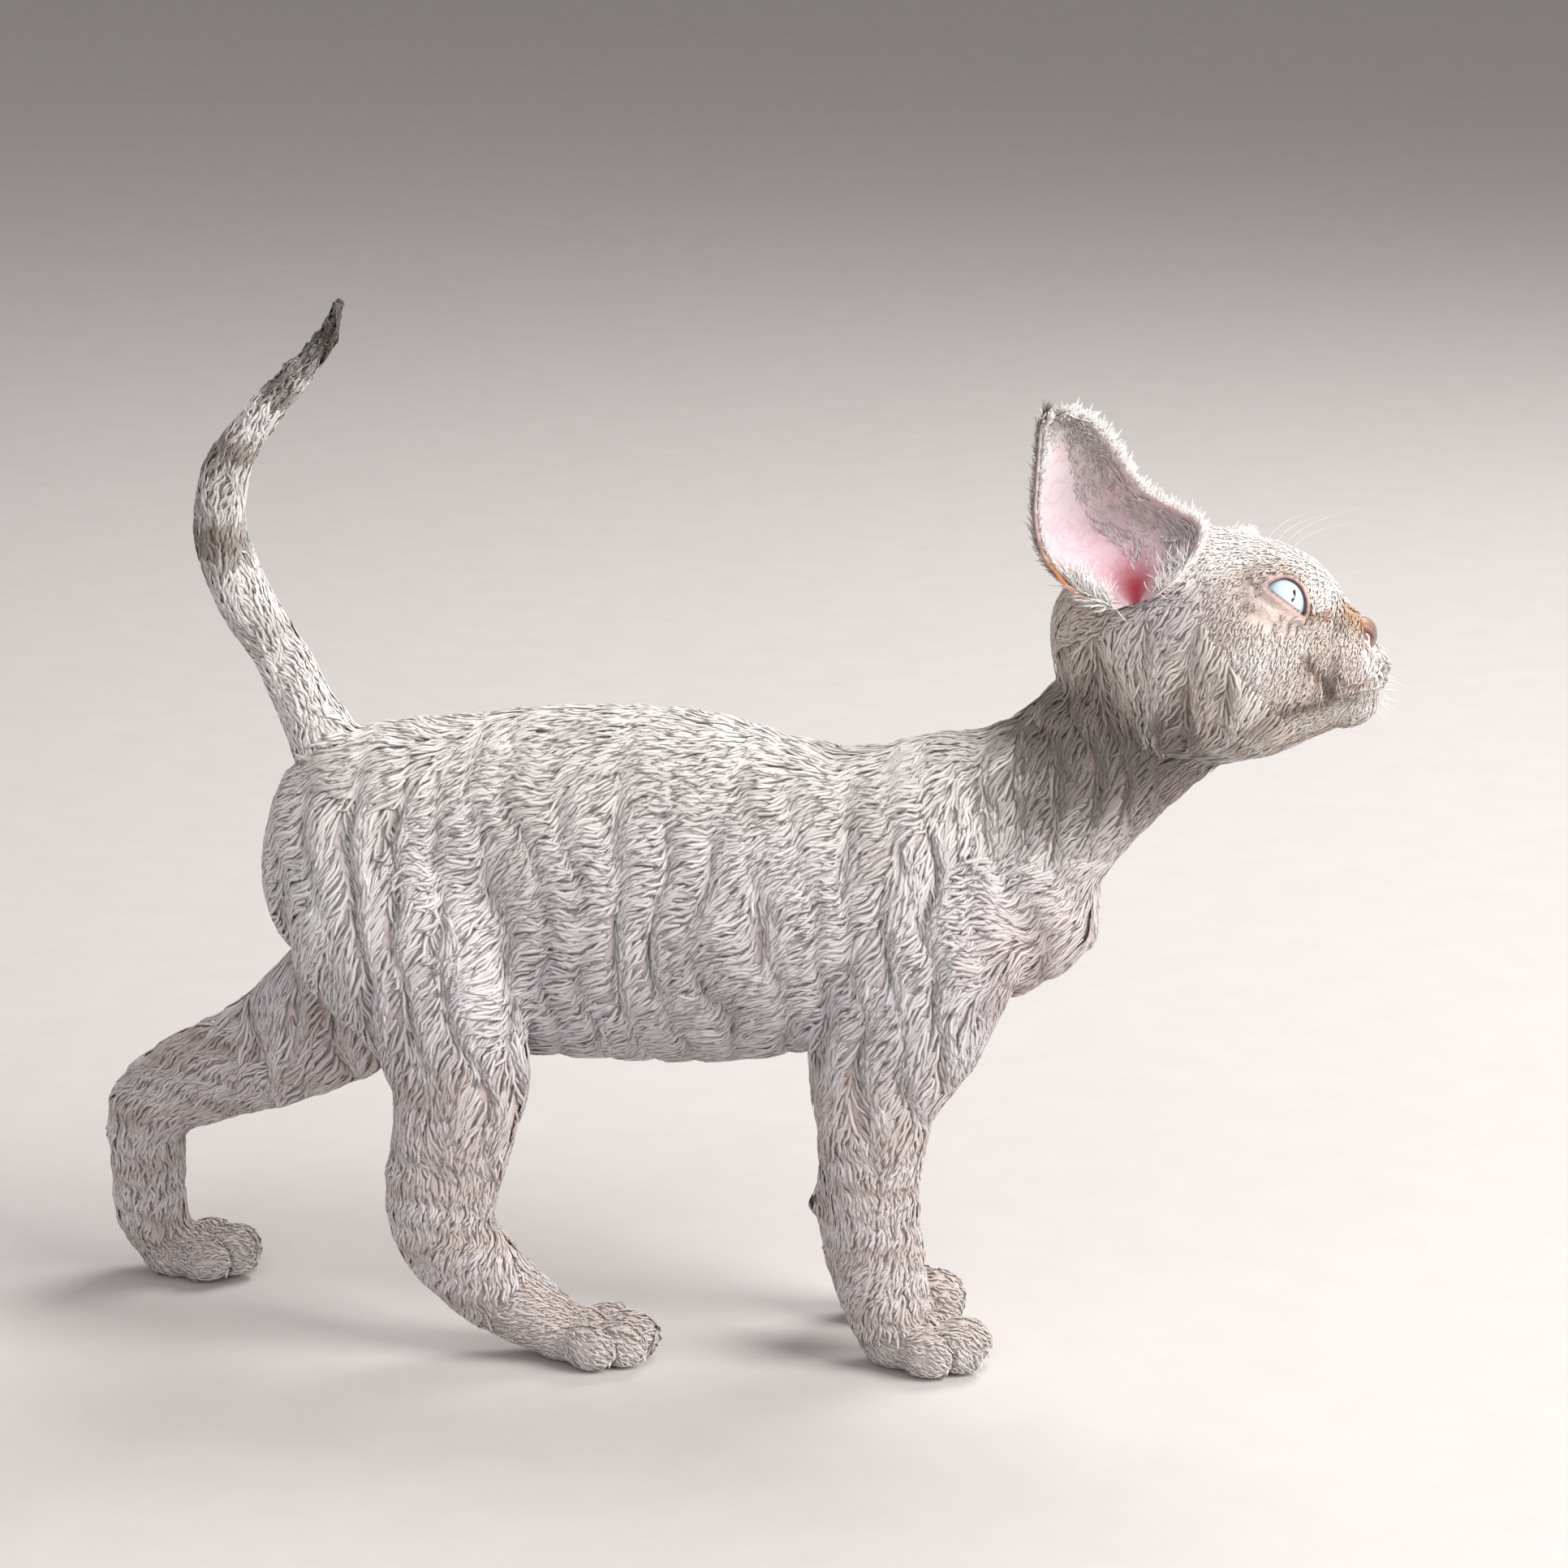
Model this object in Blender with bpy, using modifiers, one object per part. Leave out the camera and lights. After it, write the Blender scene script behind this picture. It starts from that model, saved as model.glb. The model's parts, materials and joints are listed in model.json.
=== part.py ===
"""A young Devon Rex cat, standing with its nose raised, as solid parts for a still, life-size model.

The cat looks along +X, its left side is +Y and the floor is z = 0. Sizes in the
tables are millimetres and are turned into metres where a mesh is made.
The body is shaped whole from lofted lengths and rounded masses, blended into one
skin, and then parted by thin cuts into the pieces that a person would name.
"""

import math
import random
from dataclasses import dataclass, replace

import bmesh
import bpy
import numpy as np
from mathutils import Matrix, Vector

MM = 0.001
GAP = 0.3
SHIFT_X = 15.9
SHIFT_Y = -12.9

BLEND_VOXEL = 1.0
BLEND_ROUNDS = 4
COAT_VOXEL = 0.7
COAT_ROUNDS = 1
HEAD_TRIANGLES = 2300
BODY_TRIANGLES = 7000

HEAD_PLACE = (84.0, -1.0, 160.0)
HEAD_TURN = -4.5
HEAD_LIFT = 20.0
HEAD_ROLL = 8.0

EYE_RADIUS = 7.8
EYE_CENTRE = (23.6, 12.0, 0.2)
EYE_GAZE_OUT = 40.0
EYE_GAZE_UP = 3.0
EYE_SLANT = 24.0
LID_WALL = 1.1
LID_HALF_WIDTH = 5.6
LID_HALF_HEIGHT = 4.0

EAR_WALL = 1.3
PAW_RISE = 5.2


@dataclass(frozen=True)
class Ring:
    """One station of a lofted length: its centre, and its reach to the fore, aft and sideways."""

    x: float
    y: float
    z: float
    fore: float
    aft: float
    side: float


@dataclass(frozen=True)
class Mass:
    """A rounded mass: its centre, its half sizes and its turns about Y and then Z, in degrees."""

    x: float
    y: float
    z: float
    long: float
    wide: float
    high: float
    pitch: float = 0.0
    yaw: float = 0.0


@dataclass(frozen=True)
class EarLevel:
    """One height of the ear's cup: where its back and front rims stand, and how deep the cup is there."""

    height: float
    back_u: float
    back_v: float
    front_u: float
    front_v: float
    depth: float


@dataclass(frozen=True)
class CoatPatch:
    """A stretch of wavy coat: its length of the body, and the rows, lie and size of its clumps."""

    rings: str
    first: float
    last: float
    rows: int
    around: int
    lie: tuple
    long: float
    wide: float
    rise: float
    on_head: bool = False


TORSO = (
    Ring(-113.0, 0, 104.0, 9.0, 9.0, 8.0),
    Ring(-109.5, 0, 104.0, 20.0, 18.0, 15.0),
    Ring(-101.0, 0, 104.0, 27.5, 25.0, 20.5),
    Ring(-88.0, 0, 104.0, 32.0, 33.0, 23.5),
    Ring(-70.0, 0, 102.0, 36.2, 38.0, 24.5),
    Ring(-45.0, 0, 98.0, 43.0, 35.5, 26.5),
    Ring(-18.0, 0, 98.0, 42.4, 35.5, 27.5),
    Ring(2.0, 0, 99.0, 36.4, 34.0, 27.0),
    Ring(18.0, 0, 101.0, 32.8, 31.5, 25.5),
    Ring(36.0, 0, 103.0, 35.0, 30.0, 23.5),
    Ring(50.0, 0, 105.0, 30.0, 26.0, 20.0),
    Ring(60.5, 0, 103.0, 21.0, 18.0, 15.5),
    Ring(67.0, 0, 101.0, 10.0, 10.0, 9.0),
)
NECK = (
    Ring(34.0, 0, 106.0, 27.0, 27.0, 21.0),
    Ring(48.0, 0, 116.0, 24.5, 24.0, 20.0),
    Ring(60.5, -0.3, 126.0, 19.5, 19.5, 18.0),
    Ring(70.5, -0.6, 135.5, 18.6, 18.4, 17.5),
    Ring(79.0, -0.8, 145.0, 19.0, 19.5, 18.5),
    Ring(84.0, -1.0, 152.0, 16.0, 18.0, 18.0),
)
TAIL = (
    Ring(-92.0, 0, 118.0, 9.0, 9.0, 9.0),
    Ring(-98.5, 0, 126.5, 9.0, 9.0, 9.0),
    Ring(-103.8, 0, 136.5, 7.4, 7.4, 7.4),
    Ring(-110.6, 0, 150.5, 6.5, 6.5, 6.5),
    Ring(-118.5, 0, 163.0, 6.8, 6.8, 6.8),
    Ring(-123.0, 0, 176.0, 6.6, 6.6, 6.6),
    Ring(-122.0, 0, 189.0, 6.0, 6.0, 6.0),
    Ring(-116.5, 0, 199.0, 4.6, 4.6, 4.6),
    Ring(-107.5, 0, 209.5, 3.7, 3.7, 3.7),
    Ring(-99.4, 0, 219.0, 2.6, 2.6, 2.6),
    Ring(-95.9, 0, 228.0, 0.9, 0.9, 0.9),
)
HIND_RIGHT = (
    Ring(-87.0, -13.0, 112.0, 18.0, 19.0, 10.0),
    Ring(-82.0, -17.5, 95.0, 26.0, 25.0, 12.5),
    Ring(-73.5, -20.5, 78.0, 21.5, 18.0, 12.0),
    Ring(-67.6, -21.5, 63.0, 15.8, 15.7, 11.0),
    Ring(-69.4, -22.0, 50.0, 13.7, 13.7, 9.6),
    Ring(-71.8, -21.5, 39.0, 13.3, 13.3, 8.8),
    Ring(-71.3, -21.0, 28.5, 11.8, 12.6, 8.6),
    Ring(-64.0, -20.5, 18.0, 10.8, 10.8, 8.8),
    Ring(-53.0, -20.2, 10.5, 8.6, 9.6, 9.8),
    Ring(-46.0, -20.1, 7.4, 6.2, 7.2, 9.6),
    Ring(-40.0, -20.1, 6.0, 3.6, 4.6, 6.0),
)
HIND_LEFT = (
    Ring(-88.0, 13.0, 110.0, 18.0, 20.0, 10.0),
    Ring(-88.0, 17.5, 92.0, 25.0, 22.0, 12.5),
    Ring(-93.5, 20.5, 76.5, 20.5, 18.0, 12.0),
    Ring(-106.0, 22.8, 63.5, 17.2, 16.8, 11.0),
    Ring(-122.0, 24.8, 53.0, 13.4, 13.6, 9.6),
    Ring(-138.0, 26.2, 46.0, 11.6, 12.0, 8.8),
    Ring(-148.6, 26.8, 38.5, 9.8, 10.6, 8.4),
    Ring(-149.8, 27.0, 27.0, 9.2, 9.2, 8.2),
    Ring(-149.2, 27.0, 14.0, 8.8, 8.8, 8.8),
    Ring(-145.0, 27.0, 7.8, 7.2, 7.6, 9.2),
    Ring(-139.0, 27.1, 5.6, 4.0, 4.4, 6.0),
)
FORE_RIGHT = (
    Ring(38.0, -12.0, 112.0, 17.0, 17.0, 10.0),
    Ring(32.0, -15.5, 93.0, 22.0, 21.0, 12.0),
    Ring(25.5, -16.5, 73.0, 19.0, 19.0, 11.2),
    Ring(22.0, -16.3, 60.0, 14.6, 14.6, 9.6),
    Ring(21.7, -15.8, 42.0, 10.9, 10.8, 8.7),
    Ring(22.9, -15.4, 24.0, 10.6, 10.7, 8.6),
    Ring(25.0, -15.0, 12.5, 10.0, 10.0, 9.6),
    Ring(28.0, -15.0, 7.0, 7.6, 8.2, 9.6),
    Ring(33.0, -15.2, 5.4, 4.0, 4.4, 6.0),
)
FORE_LEFT = (
    Ring(36.0, 12.0, 112.0, 17.0, 17.0, 10.0),
    Ring(28.0, 15.5, 93.0, 21.0, 21.0, 12.0),
    Ring(20.5, 16.5, 73.0, 18.5, 18.5, 11.2),
    Ring(16.5, 16.3, 60.0, 14.2, 14.2, 9.6),
    Ring(15.2, 15.8, 42.0, 10.8, 10.7, 8.7),
    Ring(15.6, 15.4, 24.0, 10.5, 10.6, 8.6),
    Ring(17.0, 15.0, 12.5, 9.8, 9.8, 9.6),
    Ring(19.5, 15.0, 7.0, 7.6, 8.2, 9.6),
    Ring(24.5, 15.1, 5.4, 4.0, 4.4, 6.0),
)
HEAD = (
    Ring(-25.5, 0, 1.0, 6.0, 6.0, 6.0),
    Ring(-21.5, 0, 2.0, 13.5, 14.0, 14.0),
    Ring(-13.0, 0, 2.0, 20.0, 23.0, 19.5),
    Ring(-3.0, 0, 1.0, 23.5, 28.5, 22.8),
    Ring(7.0, 0, -1.0, 24.6, 29.0, 24.0),
    Ring(15.0, 0, -4.0, 24.4, 26.2, 24.2),
    Ring(22.0, 0, -6.0, 22.4, 24.0, 20.8),
    Ring(28.0, 0, -8.0, 20.6, 21.5, 16.2),
    Ring(32.5, 0, -9.5, 17.6, 19.5, 12.4),
    Ring(35.5, 0, -11.5, 14.0, 15.5, 9.2),
    Ring(37.6, 0, -13.0, 7.4, 11.0, 6.0),
)
HEAD_MASSES = (
    Mass(14.5, 16.6, -7.0, 11.0, 8.2, 10.5),
    Mass(4.0, 11.0, -12.0, 19.0, 10.6, 14.0),
    Mass(26.5, 9.0, 4.0, 6.6, 7.0, 5.6, 35.0, 0.0),
    Mass(23.4, 11.6, -0.6, 9.3, 9.0, 8.8),
    Mass(33.4, 6.0, -17.0, 7.4, 6.6, 6.6, 0.0, -14.0),
    Mass(37.0, 2.9, -18.4, 3.6, 3.5, 5.2),
)
HEAD_MIDDLE_MASSES = (
    Mass(31.2, 0.0, -23.8, 6.8, 7.0, 5.8),
    Mass(33.6, 0.0, -6.8, 6.6, 4.4, 4.0, 38.0, 0.0),
    Mass(37.6, 0.0, -10.8, 3.4, 4.2, 4.0),
)
NOSE_LEATHER = Mass(38.8, 0.0, -11.6, 3.0, 4.3, 3.4, 20.0, 0.0)
NOSTRIL = Mass(41.4, 2.5, -12.4, 1.6, 0.9, 1.3, 0.0, -28.0)
MOUTH_LINE = (
    (41.0, 0.0, -20.5),
    (40.0, 4.0, -22.2),
    (35.5, 10.0, -23.2),
    (29.0, 15.5, -22.4),
    (23.5, 19.5, -20.2),
    (19.5, 22.5, -18.2),
)
MOUTH_WIDTH = 0.85
MOUTH_STEPS = 19
MOUTH_SIDES = 6
MOUTH_TAPER = 0.12

EAR_RIGHT = (
    EarLevel(9.0, -4.6, -25.4, 0.6, -24.6, 2.0),
    EarLevel(12.0, -8.6, -26.4, 5.2, -22.6, 5.5),
    EarLevel(16.0, -11.9, -27.0, 9.2, -19.2, 8.5),
    EarLevel(20.5, -13.8, -27.6, 11.6, -16.2, 10.6),
    EarLevel(25.5, -14.9, -28.4, 9.0, -15.2, 10.8),
    EarLevel(32.0, -13.9, -29.6, 5.2, -18.0, 9.0),
    EarLevel(38.0, -11.4, -31.0, 2.9, -21.5, 6.8),
    EarLevel(43.5, -8.8, -32.5, 0.8, -26.0, 4.4),
    EarLevel(47.5, -6.8, -33.6, -1.6, -30.0, 2.4),
    EarLevel(49.8, -5.2, -34.0, -3.4, -33.0, 0.8),
)
EAR_LEFT_PIVOT = (-2.0, 19.0, 14.0)
EAR_LEFT_ROOT = (-1.0, 20.0, 7.4)
EAR_LEFT_FLARE = 52.0
EAR_LEFT_SWING = -14.0


@dataclass(frozen=True)
class Paw:
    """A paw: the middle of its sole, its heading in degrees, and its share of the plain size."""

    x: float
    y: float
    heading: float
    length: float
    breadth: float


PAWS = {
    "fore_right": Paw(28.6, -15.2, -6.0, 1.0, 1.0),
    "fore_left": Paw(20.0, 15.2, 4.0, 1.0, 1.0),
    "hind_right": Paw(-43.8, -20.2, -8.0, 1.0, 0.98),
    "hind_left": Paw(-142.5, 27.0, 6.0, 0.95, 0.95),
}
TOE_ANGLES = (-59.0, -19.0, 19.0, 59.0)
TOE_REACH = (9.2, 11.2, 11.2, 9.2)
TOE_LONG = 6.6
TOE_WIDE = 4.5
TOE_HIGH = 5.6
TOE_LIFT = 5.1
TOE_PITCH = 6.0
TOE_SPLAY = 0.35
TOE_ROOT = 1.5
SOLE = (9.8, 8.8, 6.4)

HAUNCHES = {
    "thigh_right": Mass(-79.0, -24.0, 85.0, 30.0, 21.0, 42.0, -26.8, 0.0),
    "thigh_left": Mass(-95.0, 25.0, 82.0, 28.0, 22.0, 40.0, 26.8, 0.0),
    "upper_arm_right": Mass(28.5, -19.8, 81.0, 25.0, 18.8, 33.0, 11.0, 0.0),
    "upper_arm_left": Mass(23.5, 19.8, 81.0, 25.0, 18.8, 33.0, 11.0, 0.0),
}
DISCS = {
    "head_from_neck": ((77.0, -0.8, 141.0), (0.48, 0.0, 0.877), 27.0),
    "neck_from_torso": ((57.0, -0.3, 123.0), (0.753, 0.0, 0.658), 27.0),
    "tail_root": ((-102.6, 0.0, 134.4), (-0.47, 0.0, 0.88), 10.0),
    "tail_first_bend": ((-117.6, 0.0, 161.6), (-0.52, 0.0, 0.855), 10.0),
    "tail_second_bend": ((-120.6, 0.0, 192.6), (0.45, 0.0, 0.893), 9.0),
    "hock_right": ((-72.0, -21.5, 35.0), (0.05, 0.0, 1.0), 17.0),
    "hock_left": ((-143.6, 26.5, 43.0), (0.87, 0.0, 0.49), 15.0),
    "wrist_right": ((23.6, -15.3, 20.0), (-0.08, 0.0, 1.0), 14.0),
    "wrist_left": ((16.0, 15.3, 20.0), (-0.08, 0.0, 1.0), 14.0),
}
PLACES = {
    "neck": (68.0, 0.0, 133.0),
    "torso": (-25.0, 0.0, 102.0),
    "tail_base": (-110.0, 0.0, 149.0),
    "tail_middle": (-122.0, 0.0, 177.0),
    "tail_tip": (-109.0, 0.0, 208.0),
    "thigh_right": (-80.0, -18.0, 86.0),
    "thigh_left": (-94.0, 18.0, 84.0),
    "upper_arm_right": (30.0, -16.0, 88.0),
    "upper_arm_left": (25.0, 16.0, 88.0),
    "shank_right": (-70.0, -22.0, 45.0),
    "shank_left": (-124.0, 25.0, 52.0),
    "hind_foot_right": (-57.0, -20.0, 14.0),
    "hind_foot_left": (-147.0, 27.0, 20.0),
    "forearm_right": (22.0, -16.0, 40.0),
    "forearm_left": (15.0, 16.0, 40.0),
    "forepaw_right": (29.0, -15.0, 8.0),
    "forepaw_left": (20.0, 15.0, 8.0),
}

LENGTHS = {
    "torso": TORSO,
    "neck": NECK,
    "tail": TAIL,
    "hind_right": HIND_RIGHT,
    "hind_left": HIND_LEFT,
    "fore_right": FORE_RIGHT,
    "fore_left": FORE_LEFT,
    "head": HEAD,
}
UPRIGHT = ("torso", "head")
SQUARENESS = 2.1
COAT_SEED = 5
ROOT_STEPS = 64
CORE_DROP = 2.2
CORE_DROP_SHARE = 0.24
BARE_BELOW = 18.0
BARE_FACE_FROM = 4.0
COAT = (
    CoatPatch("torso", 0.10, 0.90, 13, 9, (-0.55, 0.0, -0.84), 28.0, 12.0, 3.2),
    CoatPatch("neck", 0.30, 0.72, 2, 8, (-0.72, 0.0, -0.70), 22.0, 11.5, 2.8),
    CoatPatch("tail", 0.22, 0.80, 7, 3, (-0.2, 0.0, 1.0), 16.0, 7.6, 1.9),
    CoatPatch("hind_right", 0.10, 0.38, 3, 5, (-0.30, 0.0, -1.0), 26.0, 13.0, 3.2),
    CoatPatch("hind_right", 0.44, 0.66, 2, 4, (0.0, 0.0, -1.0), 19.0, 11.0, 2.5),
    CoatPatch("hind_left", 0.10, 0.38, 3, 5, (-0.30, 0.0, -1.0), 26.0, 13.0, 3.2),
    CoatPatch("hind_left", 0.44, 0.64, 2, 4, (-0.8, 0.0, -0.6), 19.0, 11.0, 2.5),
    CoatPatch("fore_right", 0.14, 0.40, 2, 6, (-0.25, 0.0, -1.0), 25.0, 12.0, 3.0),
    CoatPatch("fore_right", 0.50, 0.66, 2, 4, (0.0, 0.0, -1.0), 18.0, 10.0, 2.3),
    CoatPatch("fore_left", 0.14, 0.40, 2, 6, (-0.25, 0.0, -1.0), 25.0, 12.0, 3.0),
    CoatPatch("fore_left", 0.50, 0.66, 2, 4, (0.0, 0.0, -1.0), 18.0, 10.0, 2.3),
    CoatPatch("head", 0.12, 0.48, 3, 10, (-0.85, 0.0, -0.5), 17.0, 10.0, 2.3, on_head=True),
)
CLUMP_SIDES = ((-0.5, 0.8), (0.5, 0.8), (1.0, -0.1), (0.0, -0.9), (-1.0, -0.1))
CLUMP_STEPS = (0.0, 0.22, 0.56, 0.86, 1.0)
CLUMP_WIDTHS = (0.70, 1.0, 0.86)
CLUMP_RISES = (0.55, 0.9, 1.0)
CLUMP_ROOT = 1.4
CLUMP_TIP = 1.0
CLUMP_CURL = 11.0
CLUMP_REACH = 5.0

COAT_CREAM = (0.66, 0.60, 0.53, 1.0)
COAT_TAUPE = (0.42, 0.36, 0.30, 1.0)
TAIL_BROWN = (0.20, 0.15, 0.11, 1.0)
EAR_LILAC = (0.66, 0.50, 0.50, 1.0)
EYE_BLUE = (0.45, 0.62, 0.72, 1.0)
COAT_ROUGHNESS = 0.85
EYE_ROUGHNESS = 0.1
NODE_COLOURS = {"tail_tip": TAIL_BROWN, "ear_right": EAR_LILAC, "ear_left": EAR_LILAC}


def clear_scene():
    for obj in list(bpy.data.objects):
        bpy.data.objects.remove(obj)


def new_collection(name):
    collection = bpy.data.collections.new(name)
    bpy.context.scene.collection.children.link(collection)
    return collection


def mesh_object(name, points, faces):
    """A mesh in the scratch collection, from points in millimetres."""
    mesh = bpy.data.meshes.new(name)
    mesh.from_pydata((np.asarray(points) * MM).tolist(), [], faces)
    mesh.update()
    obj = bpy.data.objects.new(name, mesh)
    SCRATCH.objects.link(obj)
    return obj


def face_outwards(obj):
    shape = bmesh.new()
    shape.from_mesh(obj.data)
    bmesh.ops.recalc_face_normals(shape, faces=shape.faces)
    shape.to_mesh(obj.data)
    shape.free()
    return obj


def eased(values, count):
    """Values between the stations on a smooth curve that passes through each of them."""
    values = np.asarray(values, float)
    slopes = np.gradient(values, axis=0)
    at = np.linspace(0, len(values) - 1, count)
    low = np.minimum(at.astype(int), len(values) - 2)
    part = (at - low)[:, None]
    first, second = values[low], values[low + 1]
    into, out = slopes[low], slopes[low + 1]
    square, cube = part**2, part**3
    return (
        first * (2 * cube - 3 * square + 1)
        + into * (cube - 2 * square + part)
        + second * (3 * square - 2 * cube)
        + out * (cube - square)
    )


def loft_points(rings, count, sides, upright):
    """Points of a lofted length. An upright one has slightly squared rings that stand across X."""
    table = np.array([[r.x, r.y, r.z, r.fore, r.aft, r.side] for r in rings])
    table = eased(table, count)
    centre = table[:, :3]
    tangent = np.gradient(centre, axis=0)
    tangent /= np.linalg.norm(tangent, axis=1)[:, None]
    power = 1.0
    if upright:
        tangent = np.tile((1.0, 0.0, 0.0), (count, 1))
        power = 2.0 / SQUARENESS
    fore = np.cross(tangent, (0.0, 1.0, 0.0))
    fore /= np.linalg.norm(fore, axis=1)[:, None]
    across = np.cross(fore, tangent)
    angle = np.arange(sides) * 2 * math.pi / sides
    cosine = np.sign(np.cos(angle)) * np.abs(np.cos(angle)) ** power
    sine = np.sign(np.sin(angle)) * np.abs(np.sin(angle)) ** power
    reach = np.where(cosine > 0, table[:, 3:4] * cosine, table[:, 4:5] * cosine)
    spread = table[:, 5:6] * sine
    return centre[:, None] + reach[..., None] * fore[:, None] + spread[..., None] * across[:, None]


def tube_mesh(name, points):
    """A closed tube through rings of points, capped at both ends."""
    count, sides = points.shape[:2]
    faces = []
    for i in range(count - 1):
        for j in range(sides):
            k = (j + 1) % sides
            faces.append((i * sides + j, i * sides + k, (i + 1) * sides + k, (i + 1) * sides + j))
    faces.append(tuple(range(sides)))
    faces.append(tuple(reversed(range((count - 1) * sides, count * sides))))
    return face_outwards(mesh_object(name, points.reshape(-1, 3), faces))


def loft(name, rings, per_ring=4, sides=28):
    count = (len(rings) - 1) * per_ring + 1
    return tube_mesh(name, loft_points(rings, count, sides, name in UPRIGHT))


def head_matrix():
    """The head's frame: turned towards -Y, lifted at the nose and leaning its crown to +Y."""
    turn = Matrix.Rotation(math.radians(HEAD_TURN), 3, "Z")
    lift = Matrix.Rotation(math.radians(-HEAD_LIFT), 3, "Y")
    roll = Matrix.Rotation(math.radians(-HEAD_ROLL), 3, "X")
    matrix = (turn @ lift @ roll).to_4x4()
    matrix.translation = Vector(HEAD_PLACE) * MM
    return matrix


def mass_matrix(mass):
    yaw = Matrix.Rotation(math.radians(mass.yaw), 4, "Z")
    pitch = Matrix.Rotation(math.radians(mass.pitch), 4, "Y")
    size = Matrix.Diagonal((mass.long * MM, mass.wide * MM, mass.high * MM, 1.0))
    return Matrix.Translation(Vector((mass.x, mass.y, mass.z)) * MM) @ yaw @ pitch @ size


def add_ball(shape, mass, sides, rows):
    """Adds the rounded mass to a mesh in the making."""
    bmesh.ops.create_uvsphere(
        shape, u_segments=sides, v_segments=rows, radius=1.0, matrix=mass_matrix(mass)
    )


def rounded_mass(name, mass, sides=28, rows=16):
    mesh = bpy.data.meshes.new(name)
    shape = bmesh.new()
    add_ball(shape, mass, sides, rows)
    shape.to_mesh(mesh)
    shape.free()
    obj = bpy.data.objects.new(name, mesh)
    SCRATCH.objects.link(obj)
    return obj


def mirrored(mass):
    return replace(mass, y=-mass.y, yaw=-mass.yaw)


def move(obj, matrix):
    obj.data.transform(matrix)
    return obj


def apply_modifier(obj, kind, **settings):
    """Runs one modifier and keeps its result as the object's mesh."""
    modifier = obj.modifiers.new(kind.title(), kind)
    for key, value in settings.items():
        setattr(modifier, key, value)
    graph = bpy.context.evaluated_depsgraph_get()
    made = bpy.data.meshes.new_from_object(obj.evaluated_get(graph))
    obj.modifiers.clear()
    before = obj.data
    obj.data = made
    bpy.data.meshes.remove(before)
    return obj


def remove(objects):
    for obj in objects:
        bpy.data.objects.remove(obj)


def joined(name, pieces):
    """All the pieces in one mesh, still overlapping."""
    shape = bmesh.new()
    for piece in pieces:
        shape.from_mesh(piece.data)
    mesh = bpy.data.meshes.new(name)
    shape.to_mesh(mesh)
    shape.free()
    obj = bpy.data.objects.new(name, mesh)
    SCRATCH.objects.link(obj)
    remove(pieces)
    return obj


def cut(obj, cutter, solver="MANIFOLD"):
    apply_modifier(obj, "BOOLEAN", operation="DIFFERENCE", object=cutter, solver=solver)
    return obj


def fuse(obj, other, solver="MANIFOLD"):
    apply_modifier(obj, "BOOLEAN", operation="UNION", object=other, solver=solver)
    remove([other])
    return obj


def islands(obj):
    """The object's separate closed surfaces, as lists of face numbers."""
    shape = bmesh.new()
    shape.from_mesh(obj.data)
    shape.faces.ensure_lookup_table()
    left = set(range(len(shape.faces)))
    found = []
    while left:
        front = [left.pop()]
        island = []
        while front:
            index = front.pop()
            island.append(index)
            for edge in shape.faces[index].edges:
                for face in edge.link_faces:
                    if face.index in left:
                        left.remove(face.index)
                        front.append(face.index)
        found.append(island)
    shape.free()
    return found


def split(obj):
    """Each closed surface as a new object, with its volume and its middle, the largest first."""
    pieces = []
    for island in islands(obj):
        keep = set(island)
        shape = bmesh.new()
        shape.from_mesh(obj.data)
        shape.faces.ensure_lookup_table()
        others = [face for face in shape.faces if face.index not in keep]
        bmesh.ops.delete(shape, geom=others, context="FACES")
        bmesh.ops.triangulate(shape, faces=shape.faces)
        volume = shape.calc_volume()
        middle = sum((vertex.co for vertex in shape.verts), Vector()) / len(shape.verts)
        mesh = bpy.data.meshes.new("piece")
        shape.to_mesh(mesh)
        shape.free()
        piece = bpy.data.objects.new("piece", mesh)
        SCRATCH.objects.link(piece)
        pieces.append((volume, middle, piece))
    remove([obj])
    return sorted(pieces, key=lambda item: -item[0])


def largest(obj, count=1):
    """The object's largest closed surfaces, without its loose scraps."""
    pieces = [piece for _, _, piece in split(obj)]
    remove(pieces[count:])
    return pieces[:count]


def disc(name, centre, normal, radius):
    """A thin round saw blade as thick as the gap between neighbouring parts."""
    mesh = bpy.data.meshes.new(name)
    shape = bmesh.new()
    turn = Vector((0, 0, 1)).rotation_difference(Vector(normal)).to_matrix().to_4x4()
    place = Matrix.Translation(Vector(centre) * MM) @ turn
    bmesh.ops.create_cone(
        shape,
        cap_ends=True,
        segments=24,
        radius1=radius * MM,
        radius2=radius * MM,
        depth=GAP * MM,
        matrix=place,
    )
    shape.to_mesh(mesh)
    shape.free()
    return cutter_object(name, mesh)


def cutter_object(name, mesh):
    obj = bpy.data.objects.new(name, mesh)
    CUTTERS.objects.link(obj)
    obj.hide_render = True
    obj.display_type = "WIRE"
    return obj


def shell_cutter(name, inner, sides=16, rows=10):
    """A thin egg-shaped shell as thick as the gap, which frees the rounded mass inside it."""
    outer = replace(inner, long=inner.long + GAP, wide=inner.wide + GAP, high=inner.high + GAP)
    shape = bmesh.new()
    add_ball(shape, inner, sides, rows)
    bmesh.ops.reverse_faces(shape, faces=shape.faces)
    add_ball(shape, outer, sides, rows)
    mesh = bpy.data.meshes.new(name)
    shape.to_mesh(mesh)
    shape.free()
    return cutter_object(name, mesh)


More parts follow.
